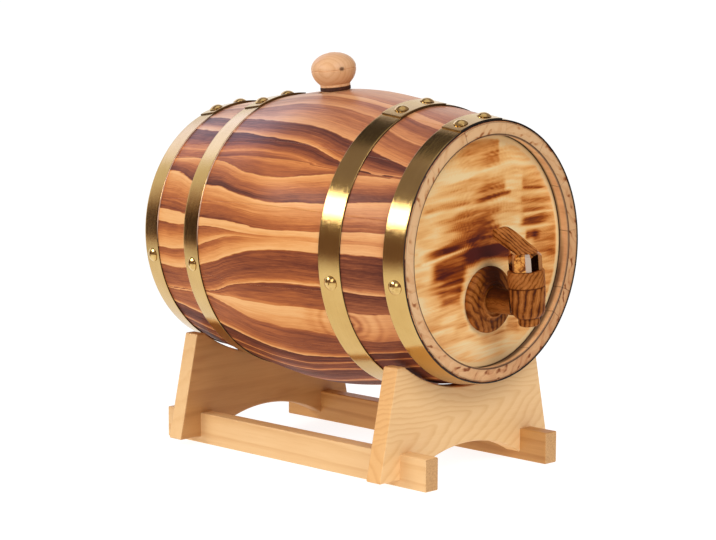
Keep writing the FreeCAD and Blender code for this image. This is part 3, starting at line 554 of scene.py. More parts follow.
def build_stave(i):
    a0, a1 = JOINTS[i], JOINTS[i + 1]
    d = np.array([0.0, 0.07, 0.18, 0.36])
    inner = np.linspace(a0 + 0.7, a1 - 0.7, max(3, int((a1 - a0) / 0.8)))
    th = np.concatenate([a0 + d, inner, a1 - d[::-1]])
    ys = stations()
    T, Y = np.meshgrid(th, ys, indexing="ij")
    gap = 0.012                                   # the stave stops this much short of the joint, degrees
    Tm = T.copy()
    Tm[0] += gap
    Tm[-1] -= gap
    edge = np.minimum(T - a0, a1 - T) * math.pi / 180 * 100      # mm from the joint
    seam = np.clip(1 - edge / 0.42, 0, 1)
    # outer surface, a little uneven and eased at the joints and ends
    u = T * 1.6
    low = fbm(relief, u / 11.0 + i * 7.3, Y / 85.0, 2)
    fine = fbm(relief, u * 0.9, Y / 30.0, 3)
    R = outer_r(Y) - 0.03 - 0.10 * (low + 0.5).clip(0, 1) - 0.05 * (fine + 0.5).clip(0, 1)
    R -= 0.13 * seam ** 2
    end = HALF_LEN - np.abs(Y)
    R -= np.interp(end, [0, 0.45, 0.8], [0.55, 0.12, 0.0])
    # inner surface with the groove for the heads
    RI = inner_r(Y)
    a = np.abs(Y)
    RI = np.where((a > CROZE_Y0 + 0.03) & (a < CROZE_Y1 - 0.03), CROZE_R, RI)
    RI += np.interp(end, [0, 0.45, 0.8], [0.8, 0.2, 0.0])
    RI += 0.2 * seam ** 2
    PO = cask_point(R, Y, Tm)
    PI = cask_point(RI, Y, Tm)
    nt, ny = T.shape
    hole = None
    if i == 0:
        # the bung hole: the grid is drawn in to its round edge
        ang0 = math.radians(BUNG_ANG)
        axis = Vector((-0.12182758, 0.02617695, 0.99220603))
        base = Vector((-12.884445, 29.75, 260.535384)) * MM
        tx = Vector((math.sin(ang0), 0, -math.cos(ang0)))
        tx = (tx - axis * tx.dot(axis)).normalized()
        ty = axis.cross(tx)
        RA = R_BILGE
        pu = (BUNG_ANG - Tm) * math.pi / 180 * RA                 # mm, towards +X
        pv = Y - BUNG_Y
        half, far = 9.0, 15.5

        def draw_in(P, rad):
            ax = np.array(axis); b = np.array(base); X = np.array(tx); Yv = np.array(ty)
            rel = P - b
            h = rel @ ax
            x, y = rel @ X, rel @ Yv
            m = np.maximum(np.abs(pu), np.abs(pv))
            k = np.clip((far - m) / (far - half), 0, 1)
            d = np.hypot(x, y) + 1e-12
            target = rad * MM * np.maximum(m / half, 0.0)
            nd = d + (target - d) * k
            return b + h[..., None] * ax + (x / d * nd)[..., None] * X + (y / d * nd)[..., None] * Yv
        PO = draw_in(PO, 10.2)
        PI = draw_in(PI, 9.45)
        inside = (np.maximum(np.abs(pu), np.abs(pv)) < half)
        hole = inside
    # loops across the sawn ends
    frac = np.array([0.035, 0.09, 0.3, 0.5, 0.7, 0.90, 0.955])
    ends = []
    for q in (0, -1):
        ends.append(PO[None, :, q] + (PI[:, q] - PO[:, q])[None] * frac[:, None, None])
    verts = np.concatenate([PO.reshape(-1, 3), PI.reshape(-1, 3), ends[0].reshape(-1, 3), ends[1].reshape(-1, 3)])
    n = nt * ny
    m = len(frac)
    idx = np.arange(n).reshape(nt, ny)
    e_idx = [np.concatenate([idx[None, :, q], 2 * n + side * m * nt + np.arange(m * nt).reshape(m, nt), n + idx[None, :, q]])
             for side, q in ((0, 0), (1, -1))]
    faces, fm = [], []

    def quad(a, b, c, d, m):
        faces.append((a, b, c, d))
        fm.append(m)
    cut = np.zeros((nt - 1, ny - 1), bool)
    if hole is not None:
        cut = hole[:-1, :-1] | hole[1:, :-1] | hole[:-1, 1:] | hole[1:, 1:]
        # every cell that touches the inside of the square goes
    for p in range(nt - 1):
        for q in range(ny - 1):
            if cut[p, q]:
                continue
            quad(idx[p, q], idx[p, q + 1], idx[p + 1, q + 1], idx[p + 1, q], 0)
            quad(n + idx[p, q], n + idx[p + 1, q], n + idx[p + 1, q + 1], n + idx[p, q + 1], 2)
    for side in (0, -1):
        for q in range(ny - 1):
            a, b, c, d = idx[side, q], n + idx[side, q], n + idx[side, q + 1], idx[side, q + 1]
            loop = [a, b, c, d]
            if q == 0:
                loop = [a] + [e_idx[0][j, side] for j in range(1, m + 1)] + [b, c, d]
            if q == ny - 2:
                tail = [e_idx[1][j, side] for j in range(m, 0, -1)]
                loop = loop[:-1] + tail + [d]
            faces.append(tuple(loop if side == 0 else loop[::-1]))
            fm.append(2)
    for j in range(m + 1):
        for p in range(nt - 1):
            quad(e_idx[0][j, p], e_idx[0][j, p + 1], e_idx[0][j + 1, p + 1], e_idx[0][j + 1, p], 1)
            quad(e_idx[1][j, p], e_idx[1][j + 1, p], e_idx[1][j + 1, p + 1], e_idx[1][j, p + 1], 1)
    if hole is not None:
        # wall of the hole
        for p in range(nt - 1):
            for q in range(ny - 1):
                if not cut[p, q]:
                    continue
                if p > 0 and not cut[p - 1, q]:
                    quad(idx[p, q], idx[p, q + 1], n + idx[p, q + 1], n + idx[p, q], 2)
                if p < nt - 2 and not cut[p + 1, q]:
                    quad(idx[p + 1, q], n + idx[p + 1, q], n + idx[p + 1, q + 1], idx[p + 1, q + 1], 2)
                if q > 0 and not cut[p, q - 1]:
                    quad(idx[p, q], n + idx[p, q], n + idx[p + 1, q], idx[p + 1, q], 2)
                if q < ny - 2 and not cut[p, q + 1]:
                    quad(idx[p, q + 1], idx[p + 1, q + 1], n + idx[p + 1, q + 1], n + idx[p, q + 1], 2)
    used = np.zeros(len(verts), bool)
    used[np.concatenate([np.array(f) for f in faces])] = True
    remap = np.cumsum(used) - 1
    fa = [tuple(int(remap[v]) for v in f) for f in faces]
    ring, flow = phase(Y, T)
    sm = lambda v: np.clip(v, 0, 1) ** 2 * (3 - 2 * np.clip(v, 0, 1))
    # painted sheen: a greyish reflection of the light on the upper side, and a weaker one near the front end
    painted_sheen = np.maximum(0.35 + 0.65 * sm((Y + 45) / 75), 0.8 * sm((106 - T) / 10)) * sm((T - 84) / 12) * sm((141 - T) / 16)
    painted_sheen = np.maximum(painted_sheen, 0.26 * sm((-72 - Y) / 6) * sm((T - 120) / 20) * sm((225 - T) / 20))
    # scorching that belongs to no growth ring
    char = 0.10 * np.exp(-((end - 12) / 9.0) ** 2) + 0.07 * sm((-72 - Y) / 6) - 0.06 * sm((Y - 72) / 6)
    burn_o = 0 * Y
    # dark inside at the sawn edge, which is char, and in the corner against the head, which is painted shade
    inner_char_and_shade = np.interp(end, [0, 0.5, 1.0, 7.6, 8.9], [0.9, 0.6, 0.05, 0.05, 0.95]) * (end < 12)
    # painted shadow on the inside of the staves next to the head, low on the right
    turn = (T + 180.0) % 360.0 - 180.0
    low = np.clip((turn + 100) / 25, 0, 1) * np.clip((8 - turn) / 22, 0, 1) * (Y < 0)
    inner_char_and_shade = np.maximum(inner_char_and_shade, 0.85 * low * np.interp(end, [3.0, 6.2], [0.0, 1.0]) * (end < 12))
    # on the sawn ends: dark along the outer and the inner edge, charred arris and painted shade of the gaps beside the
    # hoop and the head
    end_char_and_shade = np.array([0.80, 0.08, 0.0, 0.0, 0.0, 0.10, 0.95])
    ob = new_object("torched_stave_%02d" % (i + 1), verts[used], fa, (MAT_TORCH, MAT_END, MAT_INSIDE), fm)

    def pick(o, inn, end_value=None):
        o, inn = np.broadcast_to(o, T.shape), np.broadcast_to(inn, T.shape)
        parts = [o.ravel(), inn.ravel()]
        for q in (0, -1):
            e = o[None, :, q] + (inn[:, q] - o[:, q])[None] * frac[:, None] if end_value is None else end_value
            parts.append(np.broadcast_to(e, (m, nt)).ravel())
        return np.concatenate(parts)[used]
    strong = np.where(T - a0 < a1 - T, JOINT_SHADE[i], JOINT_SHADE[i + 1])
    point_attr(ob, "ring", pick(ring, ring))
    point_attr(ob, "flow", pick(flow, flow))
    point_attr(ob, "painted_sheen", pick(painted_sheen, 0.0))
    point_attr(ob, "char", pick(char, 0.0))
    e_seam = np.broadcast_to((seam * strong)[None, :, 0], (m, nt))
    point_attr(ob, "seam", pick(seam * (0.02 + 0.16 * strong), seam * 0.8, e_seam))
    point_attr(ob, "char_and_shade", pick(burn_o, inner_char_and_shade, end_char_and_shade[:, None]))
    arc = T * math.pi / 180 * 85 + i * 37.0
    vector_attr(ob, "endco", np.stack([pick(arc, arc), pick(R, RI), pick(0 * Y + i * 11.0, 0 * Y + i * 11.0)], -1))
    # sharp edges where a face turns hard
    me = ob.data
    me.update()
    sharp_edges(me, 38)
    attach(ob, "cask")
    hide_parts("stave_%02d" % (i + 1))
    return ob


def sharp_edges(me, deg):
    """Marks the edges whose faces meet at more than this angle, so that the rest shades smooth."""
    nrm = np.zeros(len(me.polygons) * 3)
    me.polygons.foreach_get("normal", nrm)
    nrm = nrm.reshape(-1, 3)
    first = {}
    lim = math.cos(math.radians(deg))
    sharp = np.zeros(len(me.edges), bool)
    ls = np.zeros(len(me.loops), np.int32)
    me.loops.foreach_get("edge_index", ls)
    tot = np.zeros(len(me.polygons), np.int32)
    me.polygons.foreach_get("loop_total", tot)
    owner = np.repeat(np.arange(len(me.polygons)), tot)
    order = np.argsort(ls, kind="stable")
    e, o = ls[order], owner[order]
    same = np.nonzero(e[1:] == e[:-1])[0]
    dots = (nrm[o[same]] * nrm[o[same + 1]]).sum(1)
    sharp[e[same[dots < lim]]] = True
    at = me.attributes.get("sharp_edge") or me.attributes.new("sharp_edge", "BOOLEAN", "EDGE")
    at.data.foreach_set("value", sharp)
    me.update()


for i in range(14):
    build_stave(i)

# ---------------------------------------------------------------- heads
# Scorch marks on the front head: points along the mark (x and height from the head's middle, mm),
# depth above and below it, darkness added, where it starts and ends, and how long it takes to fade at each end.
BURNS = [
    ([(-26, 67), (15, 69)], 7.0, 9.0, .30, -34, 15, 16, 2.0),
    ([(-14, 73), (15, 74)], 3.5, 3.0, .20, -20, 15, 10, 2.0),
    ([(15, 66), (48, 66)], 10., 8.0, -.03, 15, 50, 1, 10),
    ([(-60, 49.5), (-20, 52), (12, 56), (30, 58.5), (60, 57)], 2.2, 2.0, -.13, -60, 62, 12, 14),
    ([(-22, 48.5), (20, 49.5)], 3.0, 3.5, .09, -28, 21.0, 16, 2.6),
    ([(-16, 41), (0, 42), (20, 43)], 3.6, 3.6, .46, -19, 21.5, 22, 3.0),
    ([(-52, 43), (-15, 43)], 5.0, 4.0, .03, -56, -8, 12, 8),
    ([(-62, 35), (-20, 39.2), (20, 41.2), (34, 41)], 1.0, 1.2, -.12, -60, 34, 20, 8),
    ([(-25, 34.2), (0, 36), (24, 38.6)], 1.6, 1.6, .52, -20, 27, 22, 5),
    ([(-20, 31.5), (10, 33.5)], 2.0, 2.0, .16, -28, 16, 12, 8),
    ([(-64, 29.5), (-40, 32.4), (-18, 34.4)], 1.5, 1.2, .26, -64, -14, 10, 8),
    ([(-62, 26.5), (-20, 31), (20, 34), (40, 33)], 1.4, 1.4, -.16, -64, 42, 8, 12),
    ([(-45, 17), (-30, 19), (-15, 20), (10, 19.5)], 5.2, 6.6, .48, -52, 15, 32, 14),
    ([(-30, 25.5), (-8, 27), (10, 27.5)], 2.6, 2.4, .20, -34, 18, 12, 8),
    ([(-48, 13.5), (-20, 19), (0, 21)], 1.4, 1.4, .16, -50, 4, 12, 8),
    ([(-30, 15), (-10, 18.5), (6, 20)], 2.0, 1.6, .14, -34, 12, 8, 6),
    ([(-66, 3.0), (-50, 5.6), (-30, 10)], 1.0, 1.0, -.26, -68, -30, 4, 10),
    ([(14, 18), (30, 20)], 4.0, 4.0, .12, 8, 36, 6, 10),
    ([(-66, -.8), (-50, 2.0), (-35, 5.4), (-20, 9.2), (-5, 11.8), (12, 12.8)], 4.4, 4.2, .68, -68, 17, 22, 6),
    ([(-12, 7.5), (6, 8.5)], 3.0, 3.2, .38, -20, 14, 10, 5),
    ([(-38, 3.4), (-22, 6.4), (-6, 9.8)], 1.6, 2.0, .26, -44, 2, 6, 6),
    ([(-64, -4.4), (-50, -2.8), (-30, .9), (-15, 3.9)], .75, .75, -.50, -66, -14, 6, 16),
    ([(-54, -11), (-42, -8), (-30, -5.0), (-18, -3.2), (-8, -1.6)], 7.0, 6.6, .64, -57, -2, 10, 14),
    ([(-24, -3.5), (-8, -1.4), (4, -.2), (14, -.2), (24, -1.6)], 5.6, 6.0, .60, -26, 28, 16, 5),
    ([(-48, -13.5), (-36, -13), (-22, -12)], 3.6, 3.4, .46, -53, -17, 12, 7),
    ([(-42, -18), (-28, -16.5)], 2.2, 2.0, .26, -46, -21, 8, 5),
    ([(-6, -.5), (10, 0), (22, -2)], 5.6, 5.4, .36, -18, 27, 14, 5),
    ([(-60, -25), (-40, -25), (-26, -24)], 9.0, 12.5, .31, -64, -19, 20, 5),
    ([(-40, -50), (-30, -49), (-22, -49)], 6.0, 6.0, .03, -44, -18, 8, 6),
    ([(-40, -6), (-24, -3)], .8, .8, -.16, -46, -16, 6, 6),
    ([(-60, -17.6), (-42, -16.6), (-26, -14)], 1.1, 1.1, -.10, -62, -30, 5, 8),
    ([(-58, -22), (-40, -20.5), (-22, -18.5)], 1.7, 1.8, .30, -52, -19, 14, 5),
    ([(-52, -27), (-38, -25.5), (-26, -24)], 2.8, 2.8, .36, -51, -22, 12, 4.5),
    ([(-48, -32.5), (-36, -30.5), (-26, -29)], 2.6, 2.4, .36, -48, -23, 10, 4.5),
    ([(-44, -35.5), (-34, -33)], 1.6, 1.8, .22, -48, -24, 6, 5),
    ([(-58, -30), (-46, -28)], 4.0, 4.0, .14, -64, -38, 6, 6),
    ([(-62, -33), (-44, -30)], 2.5, 3.0, -.08, -66, -40, 6, 6),
    ([(-42, -44.5), (-30, -43)], 3.0, 3.0, -.10, -46, -26, 6, 6),
    ([(-28, -52), (-18, -50)], 3.5, 3.0, .18, -32, -14, 6, 6),
    ([(-48, -56), (-30, -55)], 2.5, 3.0, .12, -52, -24, 8, 8),
    ([(-16, -58), (2, -60)], 3.0, 3.0, .10, -22, 6, 6, 6),
    ([(2, -62), (30, -62)], 9.0, 9.0, .05, 0, 40, 8, 12),
    ([(26, -52), (36, -54)], 5.0, 5.0, .26, 22, 38, 4, 4),
    ([(0, -58), (16, -60)], 9.0, 9.0, .14, -6, 24, 8, 8),
    ([(-50, -48), (50, -52)], 14.0, 16.0, .05, -70, 60, 14, 20),
    ([(38, 51), (58, 50)], 2.5, 3.0, .12, 37, 60, 3, 8),
    ([(38, 44.5), (62, 43)], 3.4, 3.2, .34, 37, 64, 2.6, 10),
    ([(39, 40.8), (64, 40.2)], 1.2, 1.1, .40, 38, 66, 2.6, 12),
    ([(36, 37.6), (64, 36.8)], 1.1, 1.1, -.10, 30, 68, 6, 8),
    ([(38, 33), (70, 32)], 2.6, 2.4, .20, 36, 74, 3, 10),
    ([(36, 28.6), (70, 28.0)], .9, .9, -.10, 30, 74, 6, 8),
    ([(40, 25.5), (72, 25)], 1.6, 1.6, .20, 38, 76, 3, 12),
    ([(42, 22.4), (74, 22.6)], .9, .9, -.16, 40, 76, 3, 8),
    ([(38, 17.4), (74, 19.2)], 3.0, 2.8, .66, 35, 76, 8, 20),
    ([(40, 13.0), (74, 13.2)], 1.0, 1.0, -.16, 36, 76, 6, 8),
    ([(43, 7.6), (62, 7.6)], 3.2, 3.6, .62, 42, 60, 2.4, 9),
    ([(52, 6), (76, 5)], 4.0, 5.0, .34, 48, 78, 6, 6),
    ([(48, -6), (76, -7)], 6.0, 8.0, .26, 42, 78, 6, 6),
    ([(56, -4.5), (72, -5)], 1.4, 1.2, .14, 54, 74, 4, 6),
    ([(60, -26), (78, -28)], 10.0, 10.0, .17, 56, 79, 4, 6),
    ([(40, 22), (76, 18)], 22.0, 30.0, .12, 32, 78, 10, 8),
]
hn1, hn2, hn3 = make_noise(31), make_noise(32), make_noise(33)


def head_tone(x, z, tap=True):
    # the marks drift along the grain
    sx = x
    tilt = np.where(x < 20, 0.12, 0.12 - 0.10 * np.clip((x - 20) / 20, 0, 1))
    u = x
    v = z - tilt * x
    wob = 0.7 * fbm(hn1, u / 30.0 + 3, v / 9.0, 3)
    zz = z + wob
    T = 0.13 + 0.18 * fbm(hn2, u / 42.0, v / 6.0, 3) + 0.26 * np.clip(fbm(hn3, u / 34.0 + 5, v / 8.0 + 2, 3), -0.25, 0.5)
    for pts, up, dn, amp, x0, x1, fi, fo in BURNS:
        px, pz = zip(*pts)
        zl = np.interp(x, px, pz)
        jag = 1.8 * hn3(z / 1.7 + 7.0, 0 * x + amp * 50)
        xx = x + jag * min(1.0, fi / 4.0)
        fi, fo = max(fi, 3.4), fo if fo > 4 else 1.4 * fo
        env = np.clip((xx - x0) / fi, 0, 1) * np.clip((x1 + (fo > 4) * 1.5 - xx) / fo, 0, 1)
        env = env * env * (3 - 2 * env)
        w = zz - zl
        prof = np.exp(-np.where(w > 0, w / up, -w / dn) ** 3)
        T = T + amp * env * prof
    streak = fbm(hn1, u / 26.0 + 20, v / 1.3, 3)
    T = T + streak * (0.15 + 0.28 * np.clip(T, 0, 1))
    # unburnt edge next to the staves and round the tap's flange
    r = np.hypot(x, z)
    edge = np.clip((r - 75.5) / 2.5, 0, 1)
    T = T * (1 - 0.9 * edge) - 0.12 * edge
    d = np.hypot(x - 2.6, z + 33.4)
    halo = np.clip(1 - (d - 23.0) / (4.5 + 1.5 * np.sin(np.arctan2(z + 33.4, x - 2.6) * 3)), 0, 1) * (1.0 if tap else 0.0)
    T = T * (1 - 0.75 * halo) + 0.02 * halo
    return T


def make_head_wood():
    t = Tree("torched_head_wood")
    co = t.coord()
    # the grain rises a little to the right
    g = t.mapping(co, rot=(0, math.radians(7), 0))
    tone = t.attr("tone")
    fine = t.noise(t.mapping(g, scale=(0.05, 1.0, 1.0)), 1300.0, 4.0, 0.7)
    mid = t.noise(t.mapping(g, scale=(0.09, 1.0, 1.0)), 330.0, 4.0, 0.6)
    amp = t.add(0.14, t.mul(tone, 0.36))
    tone = t.add(tone, t.mul(t.sub(fine, 0.5), amp))
    tone = t.add(tone, t.mul(t.sub(mid, 0.5), t.mul(amp, 1.7)))
    blotch = t.noise(t.mapping(co, scale=(0.6, 1.0, 1.0)), 45.0, 3.0, 0.6)
    tone = t.add(tone, t.mul(t.sub(blotch, 0.5), 0.16))
    tone = t.math("MAXIMUM", t.math("MINIMUM", tone, 1.0), 0.0)
    col, _ = t.ramp(tone, [(0.0, oiled(255, 228, 174)), (0.17, oiled(254, 205, 138)), (0.36, oiled(236, 170, 102)),
                           (0.55, oiled(202, 124, 68)), (0.75, oiled(150, 77, 42, .02)), (1.0, oiled(86, 37, 22, 0.01))])
    col = t.mixc(t.mul(t.attr("seam"), 0.9), col, lin(44, 20, 10))
    rough = t.add(0.34, t.mul(tone, 0.16))
    h = t.add(t.mul(fine, 0.5), t.mul(mid, 0.4))
    return t.surface(col, rough, t.bump(h, 0.2, 0.0005), spec=0.3)


MAT_HEAD = make_head_wood()


def build_head(sign, name, node):
    """A turned board: outline of radius and distance from the cask's middle, face rings close together."""
    bore = 5.05 if sign < 0 else 0.0
    if sign < 0:
        outline = [(5.05, HEAD_OUT - HEAD_T)]
    else:
        outline = [(0.02, HEAD_OUT - HEAD_T)]
    outline += [(r, HEAD_OUT - HEAD_T) for r in (20, 45, 70, 80.6)]
    outline += [(81.2, HEAD_OUT - HEAD_T + 0.5), (81.2, CROZE_Y0 + 0.12), (83.35, CROZE_Y0 + 0.12), (83.35, CROZE_Y1 - 0.12),
                (80.55, CROZE_Y1 - 0.12), (80.3, HEAD_OUT - 0.45), (79.9, HEAD_OUT - 0.1), (79.4, HEAD_OUT - 0.02)]
    n_face = 72
    face = list(np.linspace(78.6, 14.5 if sign < 0 else 1.5, n_face))
    # the head lies under the flange in the middle; its hole is round the tap's tube
    outline += [(r, HEAD_OUT - 0.02) for r in face]
    n_ang = 400
    th = np.linspace(0, 2 * math.pi, n_ang, endpoint=False)
    rr = np.array([p[0] for p in outline])
    yy = np.array([p[1] for p in outline])
    cx, cz = (TAP[0], TAP[1] - CASK_Z) if sign < 0 else (0.0, 0.0)
    # circles near the hole are centred on it, circles near the rim on the cask's axis
    w = np.clip((79.4 - rr) / (79.4 - 14.5), 0, 1)
    w[rr > 79.4] = 0
    X = rr[:, None] * np.cos(th) + (w * cx)[:, None]
    Z = rr[:, None] * np.sin(th) + (w * cz)[:, None]
    Y = sign * (yy[:, None] + 0 * th)
    d = sign * 0.05 * (fbm(relief, X * 0.05 + 9, Z * 0.6 - X * 0.07, 3) - 0.3)
    Y = Y + np.where((yy > HEAD_OUT - 0.2)[:, None], np.minimum(d * sign, 0) * sign, 0)
    P = np.stack([X, Y + CASK_Y, Z + CASK_Z], -1) * MM
    k = len(outline)
    last = None
    verts = list(P.reshape(-1, 3))
    if sign < 0:
        # hole wall
        cxz = np.stack([5.05 * np.cos(th) + cx, np.full(n_ang, -(HEAD_OUT - 0.02) + CASK_Y), 5.05 * np.sin(th) + cz + CASK_Z], -1) * MM
        verts += list(cxz)
        rings = k + 1
    else:
        rings = k
    faces = []
    flip = sign < 0
    for a in range(rings):
        b = (a + 1) % rings
        if sign > 0 and a == rings - 1:
            break
        for j in range(n_ang):
            j2 = (j + 1) % n_ang
            q = (a * n_ang + j, a * n_ang + j2, b * n_ang + j2, b * n_ang + j)
            faces.append(q if flip else q[::-1])
    if sign > 0:
        c0, c1 = len(verts), len(verts) + 1
        verts.append(np.array((0, HEAD_OUT - HEAD_T + CASK_Y, CASK_Z)) * MM)
        verts.append(np.array((0, HEAD_OUT - 0.02 + CASK_Y, CASK_Z)) * MM)
        for j in range(n_ang):
            j2 = (j + 1) % n_ang
            faces.append((c0, j, j2))
            faces.append((c1, (rings - 1) * n_ang + j2, (rings - 1) * n_ang + j))
    ob = new_object(name, verts, faces, (MAT_HEAD,))
    V = np.array([v for v in verts]) / MM
    x, z, y = V[:, 0], V[:, 2] - CASK_Z, V[:, 1] - CASK_Y
    if sign < 0:
        tone = head_tone(x, z)
    else:
        # the back board was scorched in the same way, and lies the other way up
        tone = 0.05 + 0.66 * head_tone(-x * 1.05 - 4.0, -z * 0.9 - 6.0, False) + 0.14 * fbm(hn2, x / 40.0 + 9, z / 4.5, 4)
        edge = np.clip((np.hypot(x, z) - 74.5) / 3.0, 0, 1)
        tone = tone * (1 - edge)
    front_side = np.abs(y) > HEAD_OUT - 0.3
    tone = np.where(front_side, tone, 0.25)
    point_attr(ob, "tone", tone)
    r = np.hypot(x, z)
    point_attr(ob, "seam", np.where(front_side, np.clip((r - 79.2) / 0.8, 0, 1), np.where(r > 79.3, 1.0, 0.0)))
    sharp_edges(ob.data, 35)
    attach(ob, "cask")
    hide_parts(node)
    return ob


build_head(-1, "torched_head_front", "head_front")
build_head(1, "torched_head_rear", "head_rear")


# ---------------------------------------------------------------- brass
def make_brass(name, dark=False):
    t = Tree(name)
    co = t.coord()
    x, y, z = t.xyz(co)
    brush = t.noise(t.mapping(co, scale=(0.012, 1.0, 0.012)), 5200.0, 3.0, 0.7)
    brush2 = t.noise(t.mapping(co, scale=(0.02, 1.0, 0.02)), 1500.0, 3.0, 0.6)
    cloud = t.noise(co, 38.0, 3.0, 0.6)
    if dark:
        # the dark edge material: dark cut steel on the hoops' edges, and on the first hoop's front edge also painted
        # shade of the gap
        col, _ = t.ramp(t.add(t.mul(brush, 0.5), t.mul(cloud, 0.5)), [(0.3, lin(20, 13, 8)), (0.75, lin(44, 30, 16))])
        # a painted highlight along the front edge of the rear hoops
        col = t.mixc(t.attr("edge_glint"), col, lin(232, 202, 176))
        return t.surface(col, 0.55, t.bump(brush, 0.2, 0.0003), metallic=0.35)
    edge = t.attr("edge")
    tone = t.add(t.mul(t.sub(brush, 0.5), 0.22), t.add(t.mul(t.sub(brush2, 0.5), 0.16), t.mul(t.sub(cloud, 0.5), 0.5)))
    col, _ = t.ramp(t.add(tone, 0.5), [(0.15, lin(184, 145, 82)), (0.5, lin(202, 167, 102)), (0.85, lin(216, 185, 122))])
    # painted shade along the strip's long edges and at the steps of the overlap
    col = t.mixc(t.mul(edge, 0.8), col, lin(72, 50, 24))
    rough = t.add(0.14, t.mul(t.sub(brush2, 0.5), 0.08))
    n = t.bump(t.add(t.mul(brush, 0.6), t.mul(brush2, 0.4)), 0.25, 0.00018)
    return t.surface(col, rough, n, metallic=1.0)


MAT_BRASS = make_brass("brushed_brass")
MAT_BRASS_EDGE = make_brass("brass_cut_edge", dark=True)


def make_lap_edge():
    """The cut edges of the overlapping end, rubbed bright in places."""
    t = Tree("brass_lap_edge")
    co = t.coord()
    a = t.noise(co, 700.0, 3.0, 0.6)
    col, _ = t.ramp(a, [(0.3, lin(88, 66, 38)), (0.7, lin(126, 98, 58))])
    return t.surface(col, t.add(0.35, t.mul(a, 0.2)), t.bump(a, 0.2, 0.0003), metallic=0.85)


MAT_LAP_EDGE = make_lap_edge()
HOOPS = [(-HALF_LEN, -Y_H1), (-Y_H2, -Y_H3), (Y_H3, Y_H2), (Y_H1, HALF_LEN)]


def build_hoop(i):
    y0, y1 = HOOPS[i]
    th = np.sort(np.concatenate([np.arange(720) * 0.5, [LAP_FROM + 0.04, LAP_TO - 0.04]]))
    n = len(th)
    # section: across the strip, with its long edges rolled over a little
    L = y1 - y0
    us = np.array([0.0, 0.0, 0.03, 0.12, 0.35, 1.5, L * 0.25, L * 0.5, L * 0.75, L - 1.5, L - 0.35, L - 0.12, L - 0.03, L, L])
    hs = np.array([0.02, 0.60, 0.78, 0.86, 0.895, 0.90, 0.90, 0.90, 0.90, 0.90, 0.895, 0.86, 0.78, 0.60, 0.02])
    k = len(us)
    # the overlapping end lies on the strip beneath it, cut off square
    lift = HOOP_T * ((th > LAP_FROM + 0.02) & (th < LAP_TO - 0.02))
    Y = (y0 + us)[:, None] + 0 * th
    f = make_noise(60 + i)
    wave = 0.035 * fbm(f, th / 23.0 + 0 * Y, Y / 30.0, 3)
    base = outer_r(y0) + (outer_r(y1) - outer_r(y0)) * (us / L)[:, None]
    R = base + hs[:, None] + lift[None] * (hs[:, None] > 0.1) - 0.02 + np.where(hs[:, None] > 0.5, wave - 0.03, 0)
    P = cask_point(R, Y, th[None] + 0 * Y)
    idx = np.arange(k * n).reshape(k, n)
    # painted highlight: pale along the front edge of the two rear hoops
    edge_glint = np.clip((th - 114) / 8, 0, 1) * np.clip((184 - th) / 10, 0, 1) * (i > 1)
    faces, fm = [], []
    for a in range(k):
        b = (a + 1) % k
        for j in range(n):
            j2 = (j + 1) % n
            faces.append((idx[a, j], idx[a, j2], idx[b, j2], idx[b, j]))
            side = a in (0, k - 2, k - 1)
            glinting = edge_glint[j] > 0 and a in (0, 1, 2)       # painted highlight along the front edge
            shaded_front = i == 0 and a < 4 and lift[j] == lift[j2]       # dark along the first hoop's front edge: dark cut edge and painted shade of the gap against the staves' ends
            fm.append(1 if glinting or shaded_front else 2 if (side and lift[j] and lift[j2]) or lift[j] != lift[j2] else 1 if side else 0)
    ob = new_object("brass_hoop_%d" % (i + 1), P.reshape(-1, 3), faces, (MAT_BRASS, MAT_BRASS_EDGE, MAT_LAP_EDGE), fm)
    # painted shade along both long edges of the strip, and fainter at the steps of the overlap
    e = np.interp(np.minimum(us, L - us), [0, 0.12, 0.3], [0.8, 0.25, 0.0])
    E = np.repeat(e[:, None], n, 1)
    step_edge = np.maximum(np.exp(-((th - LAP_TO) / 0.3) ** 2), np.exp(-((th - LAP_FROM) / 0.3) ** 2))
    E = np.maximum(E, 0.15 * step_edge[None])
    point_attr(ob, "edge", E)
    point_attr(ob, "edge_glint", edge_glint[None] * (us < 0.4)[:, None])
    sharp_edges(ob.data, 40)
    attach(ob, "cask")
    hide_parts("hoop_%d" % (i + 1))
    return ob


for i in range(4):
    build_hoop(i)


# ---------------------------------------------------------------- materials of the pieces that keep their CAD shape
def dress(names, mat, slot=None):
    for n in names:
        ob = NODES[n]
        ob.data.materials.clear()
        ob.data.materials.append(mat)


def clamp01(t, v):
    return t.math("MAXIMUM", t.math("MINIMUM", v, 1.0), 0.0)


def make_rivet():
    t = Tree("rivet_brass_polished")
    co = t.coord()
    cloud = t.noise(co, 260.0, 3.0, 0.6)
    col, _ = t.ramp(cloud, [(0.3, lin(196, 158, 92)), (0.7, lin(226, 194, 128))])
    return t.surface(col, t.add(0.13, t.mul(cloud, 0.08)), t.bump(t.noise(co, 900.0, 3.0, 0.6), 0.12, 0.0002), metallic=1.0)


